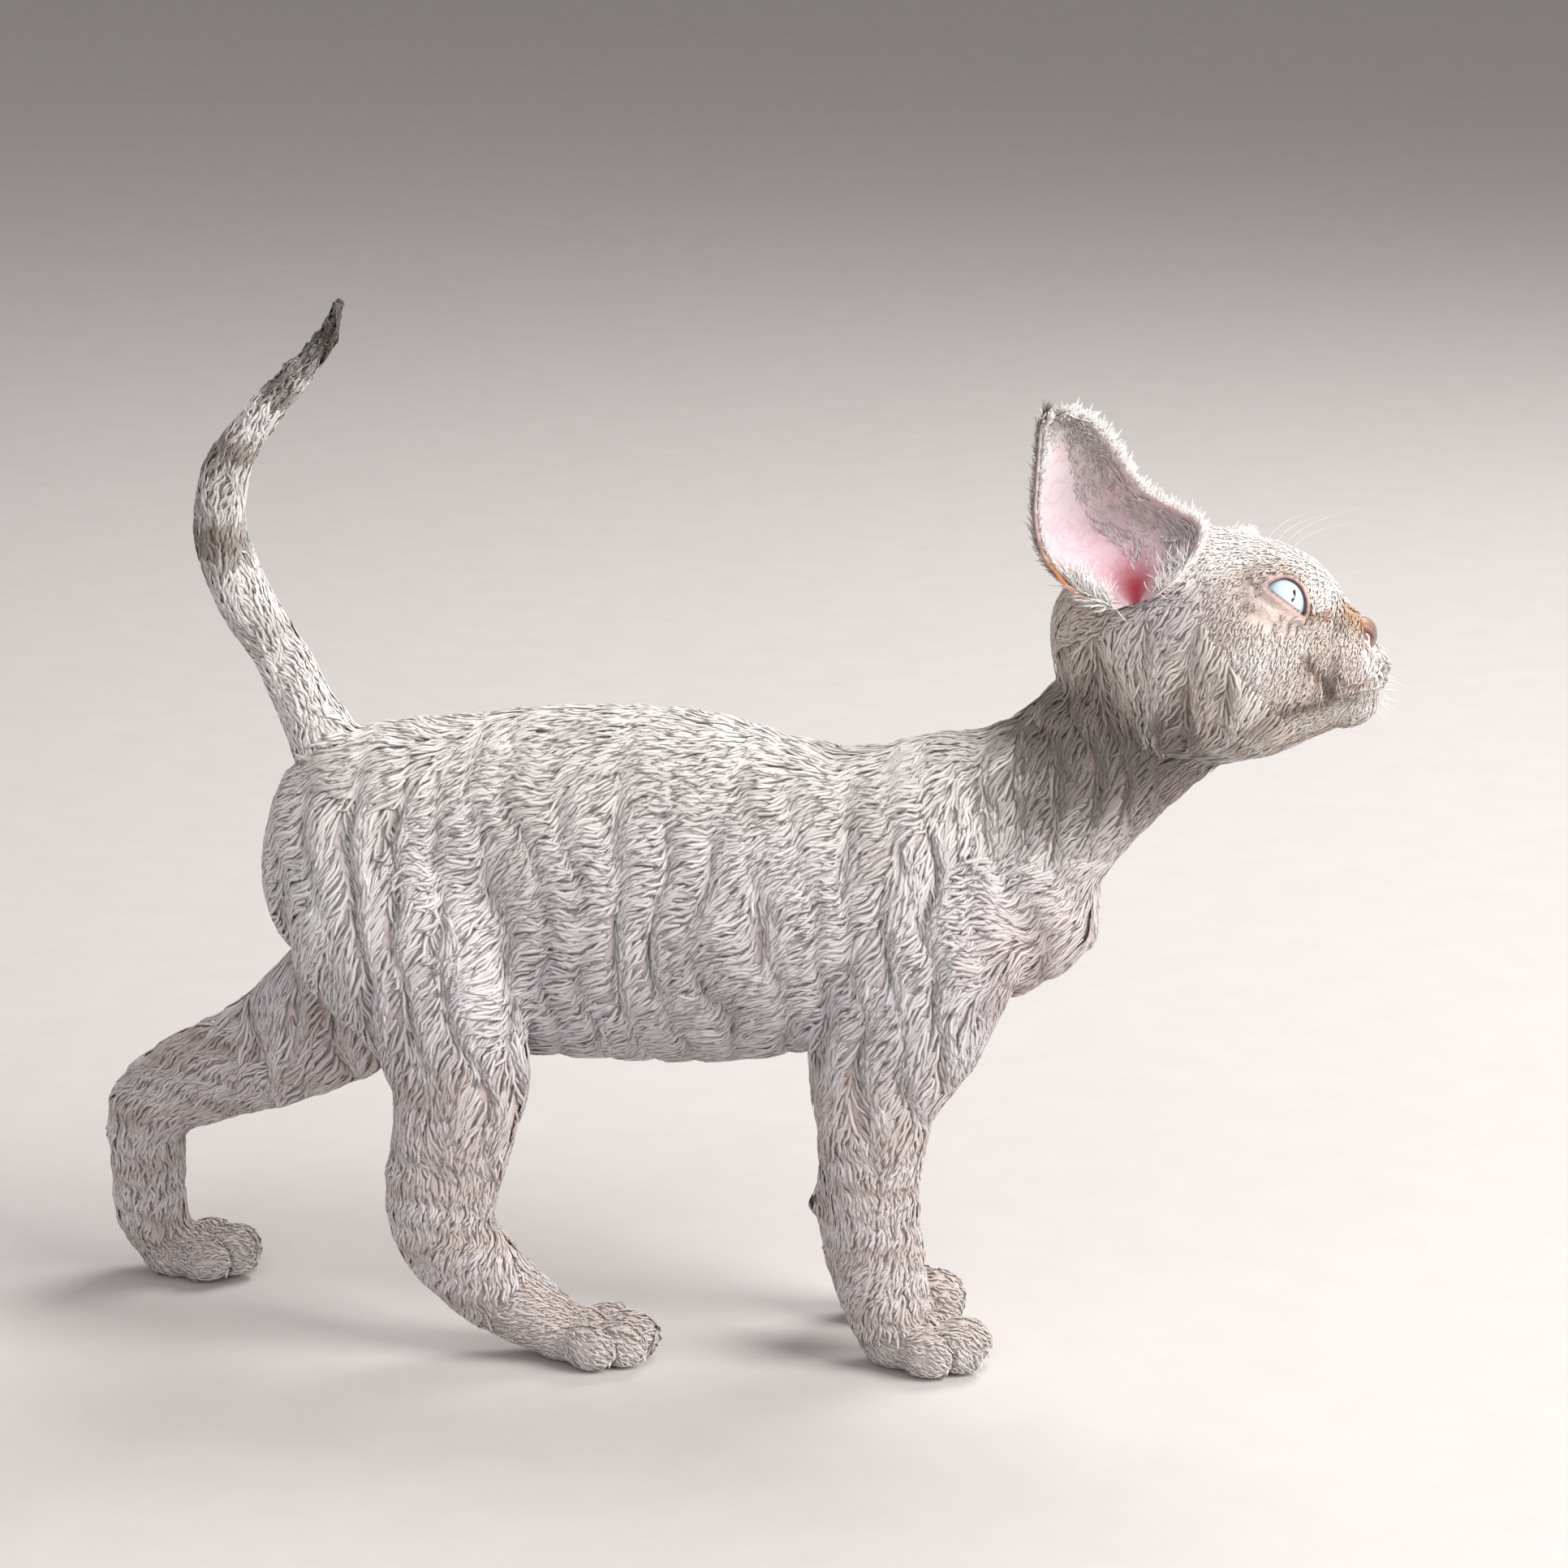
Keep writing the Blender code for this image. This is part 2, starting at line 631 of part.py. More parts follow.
def paw_masses(paw):
    """The sole's pad and four toes that fan out before it."""
    heading = math.radians(paw.heading)
    ahead = np.array([math.cos(heading), math.sin(heading)])
    masses = [
        Mass(paw.x, paw.y, PAW_RISE, SOLE[0] * paw.length, SOLE[1] * paw.breadth, SOLE[2], 0.0, paw.heading)
    ]
    for angle, reach in zip(TOE_ANGLES, TOE_REACH):
        out = math.radians(angle) + heading
        x = paw.x + ahead[0] * TOE_ROOT + math.cos(out) * reach * paw.length
        y = paw.y + ahead[1] * TOE_ROOT + math.sin(out) * reach * paw.breadth
        yaw = paw.heading + angle * TOE_SPLAY
        masses.append(Mass(x, y, TOE_LIFT, TOE_LONG, TOE_WIDE, TOE_HIGH, TOE_PITCH, yaw))
    return masses


def body_pieces():
    pieces = [
        loft("torso", inset(TORSO, above_paws)),
        loft("neck", inset(NECK, above_paws)),
        loft("tail", inset(TAIL, above_paws), sides=16),
    ]
    for name in PAWS:
        pieces.append(loft(name, inset(LENGTHS[name], above_paws), sides=20))
        for mass in paw_masses(PAWS[name]):
            pieces.append(rounded_mass("toe", mass))
    return pieces


def head_pieces():
    place = head_matrix()
    pieces = [move(loft("head", inset(HEAD, behind_face)), place)]
    masses = list(HEAD_MIDDLE_MASSES)
    for mass in HEAD_MASSES:
        masses += [mass, mirrored(mass)]
    for mass in masses:
        pieces.append(move(rounded_mass("mass", mass), place))
    return pieces


def blended(name, pieces):
    """The overlapping pieces as one smooth closed skin."""
    obj = joined(name, pieces)
    apply_modifier(obj, "REMESH", mode="VOXEL", voxel_size=BLEND_VOXEL * MM)
    apply_modifier(obj, "SMOOTH", factor=0.5, iterations=BLEND_ROUNDS)
    return obj


def thinned(obj, triangles):
    count = sum(len(face.vertices) - 2 for face in obj.data.polygons)
    apply_modifier(obj, "DECIMATE", ratio=min(1.0, triangles / count), use_collapse_triangulate=True)
    return obj


def eye_mass(side, radius):
    x, y, z = EYE_CENTRE
    return Mass(x, side * y, z, radius, radius, radius)


def gaze_matrix(side):
    """A frame at the eye's centre whose X looks out of the eye and whose Y runs along the slanting lids."""
    out = Matrix.Rotation(math.radians(side * EYE_GAZE_OUT), 4, "Z")
    up = Matrix.Rotation(math.radians(-EYE_GAZE_UP), 4, "Y")
    slant = Matrix.Rotation(math.radians(side * EYE_SLANT), 4, "X")
    x, y, z = EYE_CENTRE
    return head_matrix() @ Matrix.Translation(Vector((x, side * y, z)) * MM) @ out @ up @ slant


def lid_opening(side, count=16):
    """An almond-shaped prism that runs out of the eye along its gaze."""
    points = []
    for depth in (2.0, 16.0):
        for i in range(count):
            angle = 2 * math.pi * i / count
            y = LID_HALF_WIDTH * math.cos(angle)
            z = LID_HALF_HEIGHT * math.sin(angle) * (1 - 0.25 * abs(math.cos(angle)) ** 3)
            points.append((depth, y, z))
    faces = [tuple(range(count)), tuple(reversed(range(count, 2 * count)))]
    for i in range(count):
        k = (i + 1) % count
        faces.append((i, k, count + k, count + i))
    return move(face_outwards(mesh_object("lid_opening", points, faces)), gaze_matrix(side))


def add_lids_and_sockets(head):
    place = head_matrix()
    for side in (-1, 1):
        lid_radius = EYE_RADIUS + GAP + LID_WALL
        fuse(head, move(rounded_mass("lid", eye_mass(side, lid_radius), 18, 12), place))
        opening = lid_opening(side)
        cut(head, opening)
        socket = move(rounded_mass("socket", eye_mass(side, EYE_RADIUS + GAP), 14, 9), place)
        cut(head, socket)
        remove([opening, socket])


def eyeball(name, side):
    eye = move(rounded_mass(name, eye_mass(side, EYE_RADIUS), 16, 8), head_matrix())
    eye.name = name
    return eye


def surface_points(obj, points):
    """The nearest places on the object's surface to points in the head's frame, in that frame."""
    place = head_matrix()
    back = place.inverted()
    found = []
    for point in points:
        _, spot, _, _ = obj.closest_point_on_mesh(place @ (Vector(point) * MM))
        found.append(tuple((back @ spot) / MM))
    return found


def cut_mouth(head):
    """A fine groove between the lips, from one corner of the mouth round the muzzle to the other."""
    right = [(x, -y, z) for x, y, z in reversed(MOUTH_LINE)]
    line = eased(surface_points(head, right[:-1] + list(MOUTH_LINE)), MOUTH_STEPS)
    tangent = np.gradient(line, axis=0)
    tangent /= np.linalg.norm(tangent, axis=1)[:, None]
    rise = np.array([0.0, 0.0, 1.0]) - tangent * tangent[:, 2:3]
    rise /= np.linalg.norm(rise, axis=1)[:, None]
    across = np.cross(tangent, rise)
    angle = np.arange(MOUTH_SIDES) * 2 * math.pi / MOUTH_SIDES
    taper = np.linspace(MOUTH_TAPER, math.pi - MOUTH_TAPER, MOUTH_STEPS)
    fade = np.sin(taper) ** 0.35 * MOUTH_WIDTH
    points = (
        line[:, None]
        + (fade[:, None] * np.cos(angle))[..., None] * rise[:, None]
        + (fade[:, None] * np.sin(angle))[..., None] * across[:, None]
    )
    groove = tube_mesh("mouth_line", points)
    move(groove, head_matrix())
    cut(head, groove)
    remove([groove])


def cut_nose(head):
    place = head_matrix()
    fuse(head, move(rounded_mass("nose_leather", NOSE_LEATHER, 16, 10), place))
    for mass in (NOSTRIL, mirrored(NOSTRIL)):
        pit = move(rounded_mass("nostril", mass, 8, 6), place)
        cut(head, pit)
        remove([pit])


def scoop(name, levels, grow, lift, steps=11, arc=7):
    """A half-moon loft up the ear: its round side is the cup, its flat side stands out by the lift."""
    table = np.array([[e.height, e.back_u, e.back_v, e.front_u, e.front_v, e.depth] for e in levels])
    table[0, 0] -= grow
    table[-1, 0] += grow
    table = eased(table, steps)
    back = table[:, 1:3]
    front = table[:, 3:5]
    middle = (back + front) / 2
    along = front - back
    width = np.linalg.norm(along, axis=1)
    along /= width[:, None]
    inwards = np.stack([along[:, 1], -along[:, 0]], axis=1)
    inwards *= np.sign(inwards[:, 1:2] * -np.sign(middle[:, 1:2]))
    angle = np.linspace(-math.pi / 2, math.pi / 2, arc)
    half = width[:, None] / 2 + grow
    depth = table[:, 5:6] + grow
    flat = (
        middle[:, None]
        + (half * np.sin(angle))[..., None] * along[:, None]
        + (depth * np.cos(angle))[..., None] * inwards[:, None]
    )
    ends = (half * np.array([1.0, -1.0]))[..., None] * along[:, None]
    outer = middle[:, None] + ends - lift * inwards[:, None]
    plan = np.concatenate([flat, outer], axis=1)
    heights = np.repeat(table[:, 0][:, None], arc + 2, axis=1)
    points = np.concatenate([plan, heights[..., None]], axis=2)
    return tube_mesh(name, points)


def ear_left_turn():
    """The left ear is the right one mirrored, flared out, swung forwards and set lower."""
    from_pivot = Matrix.Translation(Vector(EAR_LEFT_PIVOT) * -MM)
    to_root = Matrix.Translation(Vector(EAR_LEFT_ROOT) * MM)
    flare = Matrix.Rotation(math.radians(-EAR_LEFT_FLARE), 4, "X")
    swing = Matrix.Rotation(math.radians(EAR_LEFT_SWING), 4, "Z")
    mirror = Matrix.Scale(-1.0, 4, (0, 1, 0))
    return to_root @ swing @ flare @ from_pivot @ mirror


def ear_parts(side):
    """The ear's cupped wall, and the socket that the head opens for it."""
    place = head_matrix()
    if side > 0:
        place = place @ ear_left_turn()
    wall = move(scoop("ear_wall", EAR_RIGHT, EAR_WALL, 0.5), place)
    hollow = move(scoop("ear_hollow", EAR_RIGHT, 0.0, 4.0), place)
    socket = move(scoop("ear_socket", EAR_RIGHT, EAR_WALL + GAP, 5.0), place)
    for piece in (wall, hollow, socket):
        face_outwards(piece)
    cut(wall, hollow)
    remove([hollow])
    return wall, socket


def inset(rings, share_at):
    """The rings drawn in under the coat, by the core's drop where the share is one."""
    drawn = []
    for ring in rings:
        drop = share_at(ring) * min(CORE_DROP, CORE_DROP_SHARE * min(ring.fore, ring.aft, ring.side))
        drawn.append(replace(ring, fore=ring.fore - drop, aft=ring.aft - drop, side=ring.side - drop))
    return tuple(drawn)


def above_paws(ring):
    return min(max((ring.z - BARE_BELOW) / BARE_BELOW, 0.0), 1.0)


def behind_face(ring):
    return min(max((BARE_FACE_FROM - ring.x) / BARE_FACE_FROM, 0.0), 1.0)


def clump_roots(patch):
    """Places spread evenly over the patch, each row a half step round from the one before."""
    upright = patch.rings in UPRIGHT
    grid = loft_points(LENGTHS[patch.rings], ROOT_STEPS + 1, 2 * patch.around, upright)
    roots = []
    for i, part in enumerate(np.linspace(patch.first, patch.last, patch.rows)):
        for j in range(patch.around):
            place = Vector(grid[round(part * ROOT_STEPS), 2 * j + i % 2])
            roots.append(head_matrix() @ (place * MM) / MM if patch.on_head else place)
    return roots


def clump_path(core, root, patch, draw):
    """Five places down the lie of the coat on the core, each with the way out and the way on there."""
    turn = draw.uniform(-CLUMP_CURL, CLUMP_CURL)
    curl = draw.choice((-1.0, 1.0)) * CLUMP_CURL
    spot = Vector(root)
    path = []
    lengths = np.diff(CLUMP_STEPS, append=1.0) * patch.long
    for step, length in enumerate(lengths):
        _, place, out, _ = core.closest_point_on_mesh(spot * MM)
        place = place / MM
        on = Vector(patch.lie) - out * out.dot(Vector(patch.lie))
        on.normalize()
        on = Matrix.Rotation(math.radians(turn + curl * (step - 2)), 3, out) @ on
        path.append((place, out, on))
        spot = place + on * length
    return path


def clump(core, root, patch, draw):
    """One rounded lock along the lie of the coat: sunk at its root, fullest just above its tip."""
    path = clump_path(core, root, patch, draw)
    scale = draw.uniform(0.88, 1.12)
    points = [path[0][0] - path[0][1] * CLUMP_ROOT]
    for (place, out, on), width, rise in zip(path[1:4], CLUMP_WIDTHS, CLUMP_RISES):
        across = out.cross(on)
        for side, height in CLUMP_SIDES:
            lift = height * rise * patch.rise if height > 0 else height * CLUMP_ROOT
            points.append(place + across * (side * width * scale * patch.wide / 2) + out * lift)
    points.append(path[4][0] - path[4][1] * CLUMP_TIP)
    sides = len(CLUMP_SIDES)
    faces = []
    for j in range(sides):
        k = (j + 1) % sides
        faces.append((0, 1 + k, 1 + j))
        for i in range(2):
            low = 1 + i * sides
            faces.append((low + j, low + k, low + sides + k, low + sides + j))
        faces.append((1 + 2 * sides + j, 1 + 2 * sides + k, 1 + 3 * sides))
    return face_outwards(mesh_object("clump", [tuple(point) for point in points], faces))


def grow_coat(core):
    """Clumps set close over the core, rooted in it and joined to it."""
    locks = new_collection("clumps")
    draw = random.Random(COAT_SEED)
    for patch in COAT:
        for root in clump_roots(patch):
            _, place, _, _ = core.closest_point_on_mesh(root * MM)
            if (place / MM - root).length < CLUMP_REACH:
                lock = clump(core, root, patch, draw)
                SCRATCH.objects.unlink(lock)
                locks.objects.link(lock)
    apply_modifier(
        core, "BOOLEAN", operation="UNION", operand_type="COLLECTION", collection=locks, solver="MANIFOLD"
    )
    remove(list(locks.objects))
    bpy.data.collections.remove(locks)
    apply_modifier(core, "REMESH", mode="VOXEL", voxel_size=COAT_VOXEL * MM)
    apply_modifier(core, "SMOOTH", factor=0.5, iterations=COAT_ROUNDS)
    return core


def name_pieces(pieces):
    """Each part is the largest piece whose middle lies nearest to the part's own place."""
    named = {}
    for _, middle, piece in pieces:
        place = min(PLACES, key=lambda name: (Vector(PLACES[name]) * MM - middle).length)
        if place in named:
            remove([piece])
        else:
            named[place] = piece
            piece.name = place
    return named


def material(name, colour, roughness):
    made = bpy.data.materials.new(name)
    made.use_nodes = True
    shader = made.node_tree.nodes["Principled BSDF"]
    shader.inputs["Base Color"].default_value = colour
    shader.inputs["Roughness"].default_value = roughness
    shader.inputs["Metallic"].default_value = 0.0
    return made


def finish(obj, name, colour, roughness):
    """Moves a finished part into the cat's collection, in place over the floor, with its own material."""
    SCRATCH.objects.unlink(obj)
    CAT.objects.link(obj)
    obj.name = name
    obj.data.name = name
    obj.data.materials.clear()
    obj.data.materials.append(material(name, colour, roughness))
    obj.data.transform(Matrix.Translation(Vector((SHIFT_X, SHIFT_Y, 0)) * MM))
    obj.data.shade_smooth()
    obj.data.set_sharp_from_angle(angle=math.radians(40))


def floor_cutter():
    mesh = bpy.data.meshes.new("below_floor")
    shape = bmesh.new()
    size = Matrix.Diagonal((0.5, 0.5, 0.04, 1.0))
    bmesh.ops.create_cube(shape, size=1.0, matrix=Matrix.Translation((0, 0, -0.02)) @ size)
    shape.to_mesh(mesh)
    shape.free()
    return cutter_object("below_floor", mesh)


def make_head(head):
    add_lids_and_sockets(head)
    cut_nose(head)
    cut_mouth(head)
    ears = {}
    for side, name in ((-1, "ear_right"), (1, "ear_left")):
        wall, socket = ear_parts(side)
        cut(head, socket)
        remove([socket])
        ears[name] = largest(wall)[0]
    return largest(head)[0], ears


def make_body(body):
    cut(body, floor_cutter())
    for name, mass in HAUNCHES.items():
        cut(body, shell_cutter("free_" + name, mass))
    for name, (centre, normal, radius) in DISCS.items():
        if name != "head_from_neck":
            cut(body, disc(name, centre, normal, radius))
    return name_pieces(split(body))


def main():
    whole = grow_coat(blended("whole", body_pieces() + head_pieces()))
    cut(whole, disc("head_from_neck", *DISCS["head_from_neck"]))
    body, head = largest(whole, count=2)
    head, ears = make_head(thinned(head, HEAD_TRIANGLES))
    parts = make_body(thinned(body, BODY_TRIANGLES))
    parts["head"] = head
    parts.update(ears)
    for name, part in parts.items():
        paw = "paw" in name or "foot" in name
        finish(part, name, NODE_COLOURS.get(name, COAT_TAUPE if paw else COAT_CREAM), COAT_ROUGHNESS)
    for name, side in (("eye_right", -1), ("eye_left", 1)):
        finish(eyeball(name, side), name, EYE_BLUE, EYE_ROUGHNESS)


clear_scene()
CAT = new_collection("devon_rex_cat")
CUTTERS = new_collection("cutters")
SCRATCH = new_collection("scratch")
CUTTERS.hide_render = True
main()
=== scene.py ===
"""The looks of a life-size young Devon Rex cat: skin, wavy coat, ears, eyes, nose, whiskers and claws.

The cat looks along +X with its right side to the camera, and stands on the floor at z = 0.
Sizes are millimetres in the cat's own plan, and every mesh is turned into metres as it is made.
"""

import json
import logging
import math
from dataclasses import dataclass, field, fields
from enum import Enum

import bmesh
import bpy
import numpy as np
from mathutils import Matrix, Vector

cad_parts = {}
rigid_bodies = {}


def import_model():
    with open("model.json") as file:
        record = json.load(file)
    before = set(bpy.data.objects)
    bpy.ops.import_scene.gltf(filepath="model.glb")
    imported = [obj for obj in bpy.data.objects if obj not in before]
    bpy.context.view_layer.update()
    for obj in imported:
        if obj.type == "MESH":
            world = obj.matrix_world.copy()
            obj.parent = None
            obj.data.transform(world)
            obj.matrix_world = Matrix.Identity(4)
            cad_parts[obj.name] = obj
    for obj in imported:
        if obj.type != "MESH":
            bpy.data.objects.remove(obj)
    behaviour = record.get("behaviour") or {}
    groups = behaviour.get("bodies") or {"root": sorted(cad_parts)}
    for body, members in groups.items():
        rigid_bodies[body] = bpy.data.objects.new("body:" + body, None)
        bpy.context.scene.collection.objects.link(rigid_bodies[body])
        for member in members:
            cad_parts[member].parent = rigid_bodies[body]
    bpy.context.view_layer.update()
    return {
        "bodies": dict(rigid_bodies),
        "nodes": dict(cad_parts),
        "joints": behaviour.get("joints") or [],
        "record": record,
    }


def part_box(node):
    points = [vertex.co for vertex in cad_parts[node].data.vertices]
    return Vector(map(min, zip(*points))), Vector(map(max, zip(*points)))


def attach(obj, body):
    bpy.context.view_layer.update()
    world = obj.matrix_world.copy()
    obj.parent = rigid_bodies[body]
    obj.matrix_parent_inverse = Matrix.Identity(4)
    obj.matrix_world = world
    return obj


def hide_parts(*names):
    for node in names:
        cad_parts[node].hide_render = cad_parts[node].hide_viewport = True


MM = 0.001
REPORT = logging.getLogger("cat")
Array = np.ndarray
Piece = bpy.types.Object
Socket = bpy.types.NodeSocket
Mesh = bpy.types.Mesh
Faces = tuple[Array, Array]


class Side(Enum):
    """Which side of the cat a paired piece is on, as the sign of its Y."""

    RIGHT = -1
    LEFT = 1


class Length(Enum):
    """The lofted lengths that the body is made of."""

    TORSO = 0
    NECK = 1
    TAIL = 2
    HIND_RIGHT = 3
    HIND_LEFT = 4
    FORE_RIGHT = 5
    FORE_LEFT = 6
    HEAD = 7


def unit(vectors: Array) -> Array:
    """Vectors of length one along the last axis."""
    return vectors / np.maximum(np.linalg.norm(vectors, axis=-1, keepdims=True), 1e-9)


def dot(first: Array, second: Array) -> Array:
    """The dot product over the last axis, which stays with one column."""
    return (first * second).sum(axis=-1, keepdims=True)


def fade(low: float, high: float, values: Array) -> Array:
    """Zero below low, one above high, and 3t^2 - 2t^3 between them."""
    part = np.clip((values - low) / (high - low), 0.0, 1.0)
    return part * part * (3.0 - 2.0 * part)


def bump(values: Array, middle: float, spread: float) -> Array:
    """A bell curve, exp(-((value - middle) / spread)^2)."""
    return np.exp(-(((values - middle) / spread) ** 2))


def blend(first: Array, second: Array, share: Array) -> Array:
    """The mix first * (1 - share) + second * share, with one share for each row."""
    share = np.asarray(share)[..., None]
    return first * (1.0 - share) + np.asarray(second) * share


def layered(base: Array, *layers: tuple) -> Array:
    """Colours with layers over them in turn, each a colour with its share."""
    for colour, share in layers:
        base = blend(base, colour, share)
    return base


def drift(points: Array, size: float, seed: int) -> Array:
    """A smooth random value for each point, from -1 to 1: a mean of sines along six random directions.

    Args:
        points: places in millimetres.
        size: about how far apart the hills of the value stand.
        seed: picks the directions.

    Returns:
        One value for each point.
    """
    draw = np.random.default_rng(seed)
    ways = unit(draw.normal(size=(6, 3))) * (2 * math.pi / size) * draw.uniform(0.6, 1.5, (6, 1))
    phases = draw.uniform(0, 2 * math.pi, 6)
    return np.sin(points @ ways.T + phases).mean(axis=1) * 1.7


def eased(values: Array, count: int) -> Array:
    """Values between the stations on a smooth cubic curve that passes through each of them."""
    values = np.asarray(values, float)
    slopes = np.gradient(values, axis=0)
    at = np.linspace(0, len(values) - 1, count)
    low = np.minimum(at.astype(int), len(values) - 2)
    part = (at - low)[:, None]
    square, cube = part**2, part**3
    return (
        values[low] * (2 * cube - 3 * square + 1)
        + slopes[low] * (cube - 2 * square + part)
        + values[low + 1] * (3 * square - 2 * cube)
        + slopes[low + 1] * (cube - square)
    )


def looped(values: Array, count: int) -> Array:
    """Values round a smooth closed curve that passes through each of the stations."""
    values = np.asarray(values, float)
    many = np.concatenate([values[-3:], values, values[:4]])
    fine = eased(many, (len(many) - 1) * 20 + 1)
    at = 60 + np.arange(count) * len(values) * 20 / count
    return np.stack([np.interp(at, np.arange(len(fine)), column) for column in fine.T], -1)


def near_path(points: Array, path: Array, limit: float) -> Array:
    """How far each point is from the nearest point of a path, for points within a limit of its box."""
    low, high = path.min(axis=0) - limit, path.max(axis=0) + limit
    close = np.flatnonzero(((points > low) & (points < high)).all(axis=1))
    apart = np.full(len(points), limit)
    apart[close] = np.minimum(np.linalg.norm(points[close, None] - path[None], axis=2).min(axis=1), limit)
    return apart


def turned(vectors: Array, axes: Array, angles: Array) -> Array:
    """Vectors turned about unit axes they stand across: v cos a + (axis x v) sin a."""
    angles = angles[:, None]
    return vectors * np.cos(angles) + np.cross(axes, vectors) * np.sin(angles)


def rotation(axis: str, degrees: float) -> Array:
    """The 3 x 3 matrix that turns about one main axis."""
    cosine, sine = math.cos(math.radians(degrees)), math.sin(math.radians(degrees))
    first, second = {"X": (1, 2), "Y": (2, 0), "Z": (0, 1)}[axis]
    matrix = np.eye(3)
    matrix[first, first] = matrix[second, second] = cosine
    matrix[first, second], matrix[second, first] = -sine, sine
    return matrix


@dataclass(frozen=True)
class Frame:
    """A place with its own three axes, which are the columns of its matrix."""

    origin: Array
    axes: Array

    def out(self, points: Array) -> Array:
        """Points of this frame in the cat's plan."""
        return np.asarray(points, float) @ self.axes.T + self.origin

    def back(self, points: Array) -> Array:
        """Points of the cat's plan in this frame."""
        return (points - self.origin) @ self.axes

    def inside(self, origin: tuple, axes: Array) -> "Frame":
        """A frame given in this one, in the cat's plan."""
        return Frame(self.out(np.asarray(origin)), self.axes @ axes)


def circle(count: int) -> Array:
    """Evenly spread angles once round, in radians."""
    return np.linspace(0, 2 * math.pi, count, endpoint=False)


def quads(a: Array, b: Array, c: Array, d: Array) -> Array:
    """The triangles a b c and a c d of every four corners."""
    return np.stack([np.stack([a, b, c], -1), np.stack([a, c, d], -1)], 2).reshape(-1, 3)


def grid_faces(rows: int, sides: int) -> Array:
    """Triangles of a grid of points that closes round its sides, row after row."""
    i, j = np.meshgrid(np.arange(rows - 1), np.arange(sides), indexing="ij")
    k = (j + 1) % sides
    return quads(i * sides + j, i * sides + k, (i + 1) * sides + k, (i + 1) * sides + j)


def closed_grid(points: Array, start: Array, end: Array) -> Faces:
    """A closed surface: a grid of rings of points, with one point that closes each end.

    Args:
        points: rings of points, as rows, sides and three coordinates.
        start: the point before the first ring.
        end: the point after the last ring.

    Returns:
        The points as one list, and the triangles, which face outwards.
    """
    rows, sides = points.shape[:2]
    flat = np.concatenate([points.reshape(-1, 3), [start], [end]])
    j = np.arange(sides)
    k = (j + 1) % sides
    last = (rows - 1) * sides
    first_cap = np.stack([k, j, np.full(sides, rows * sides)], -1)
    last_cap = np.stack([last + j, last + k, np.full(sides, rows * sides + 1)], -1)
    faces = np.concatenate([grid_faces(rows, sides), first_cap, last_cap])
    return outwards(flat, faces)


def outwards(points: Array, faces: Array) -> Faces:
    """The surface with its faces turned outwards, so that its volume, a sum of a.(b x c) / 6, is positive."""
    a, b, c = points[faces[:, 0]], points[faces[:, 1]], points[faces[:, 2]]
    if (a * np.cross(b, c)).sum() < 0:
        faces = faces[:, ::-1]
    return points, faces


def together(surfaces: list[Faces]) -> Faces:
    """Several surfaces as one."""
    starts = np.cumsum([0] + [len(points) for points, _ in surfaces[:-1]])
    faces = [part + start for (_, part), start in zip(surfaces, starts)]
    return np.concatenate([points for points, _ in surfaces]), np.concatenate(faces)


def ball(radii: tuple, frame: Frame, rows: int = 22, sides: int = 36) -> Faces:
    """An egg: x = a cos(rise) cos(turn), y = b cos(rise) sin(turn), z = c sin(rise), placed by a frame."""
    rise = np.linspace(-math.pi / 2, math.pi / 2, rows + 2)[1:-1, None]
    turn = circle(sides)[None]
    shape = np.broadcast_arrays(np.cos(rise) * np.cos(turn), np.cos(rise) * np.sin(turn), np.sin(rise))
    points = np.stack(shape, -1) * np.asarray(radii)
    low, high = np.array([0, 0, -radii[2]]), np.array([0, 0, radii[2]])
    return closed_grid(frame.out(points), frame.out(low), frame.out(high))


def tube(path: Array, radii: Array, sides: int = 8, flat: float = 1.0) -> Faces:
    """A round cord: a circle carried along a path, with its own radius at each point.

    Args:
        path: the points of its middle line.
        radii: its radius at each of them.
        sides: how many sides it has.
        flat: its share of the radius across the first direction.

    Returns:
        The closed surface.
    """
    along = unit(np.gradient(path, axis=0))
    side = unit(np.cross(along, (0.13, 0.21, 0.97)))
    other = np.cross(along, side)
    angle = circle(sides)
    ring = np.cos(angle)[None, :, None] * side[:, None] * flat + np.sin(angle)[None, :, None] * other[:, None]
    points = path[:, None] + ring * radii[:, None, None]
    return closed_grid(points, path[0], path[-1])


@dataclass(frozen=True)
class Placing:
    """Where the plan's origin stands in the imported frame, in millimetres."""

    shift: Array

    def metres(self, points: Array) -> Array:
        """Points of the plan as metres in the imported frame."""
        return (points + self.shift) * MM

    def plan(self, points: Array) -> Array:
        """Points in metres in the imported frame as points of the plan."""
        return points / MM - self.shift

    def piece(self, name: str, surface: Faces) -> Piece:
        """A mesh object at the origin from a surface of the plan, with smooth shading."""
        points, faces = surface
        mesh = bpy.data.meshes.new(name)
        mesh.vertices.add(len(points))
        mesh.vertices.foreach_set("co", self.metres(points).astype(np.float32).ravel())
        mesh.loops.add(faces.size)
        mesh.loops.foreach_set("vertex_index", faces.astype(np.int32).ravel())
        mesh.polygons.add(len(faces))
        mesh.polygons.foreach_set("loop_start", np.arange(0, faces.size, 3, dtype=np.int32))
        mesh.update(calc_edges=True)
        mesh.shade_smooth()
        made = bpy.data.objects.new(name, mesh)
        bpy.context.scene.collection.objects.link(made)
        return made


def read_threes(items: bpy.types.bpy_prop_collection, key: str, kind: type = np.float32) -> Array:
    """Three numbers for each of a mesh's points, normals or triangles, as an array."""
    flat = np.empty(len(items) * 3, kind)
    items.foreach_get(key, flat)
    return flat.reshape(-1, 3)


def read_points(mesh: Mesh) -> Array:
    """The mesh's points, in metres."""
    return read_threes(mesh.vertices, "co").astype(float)


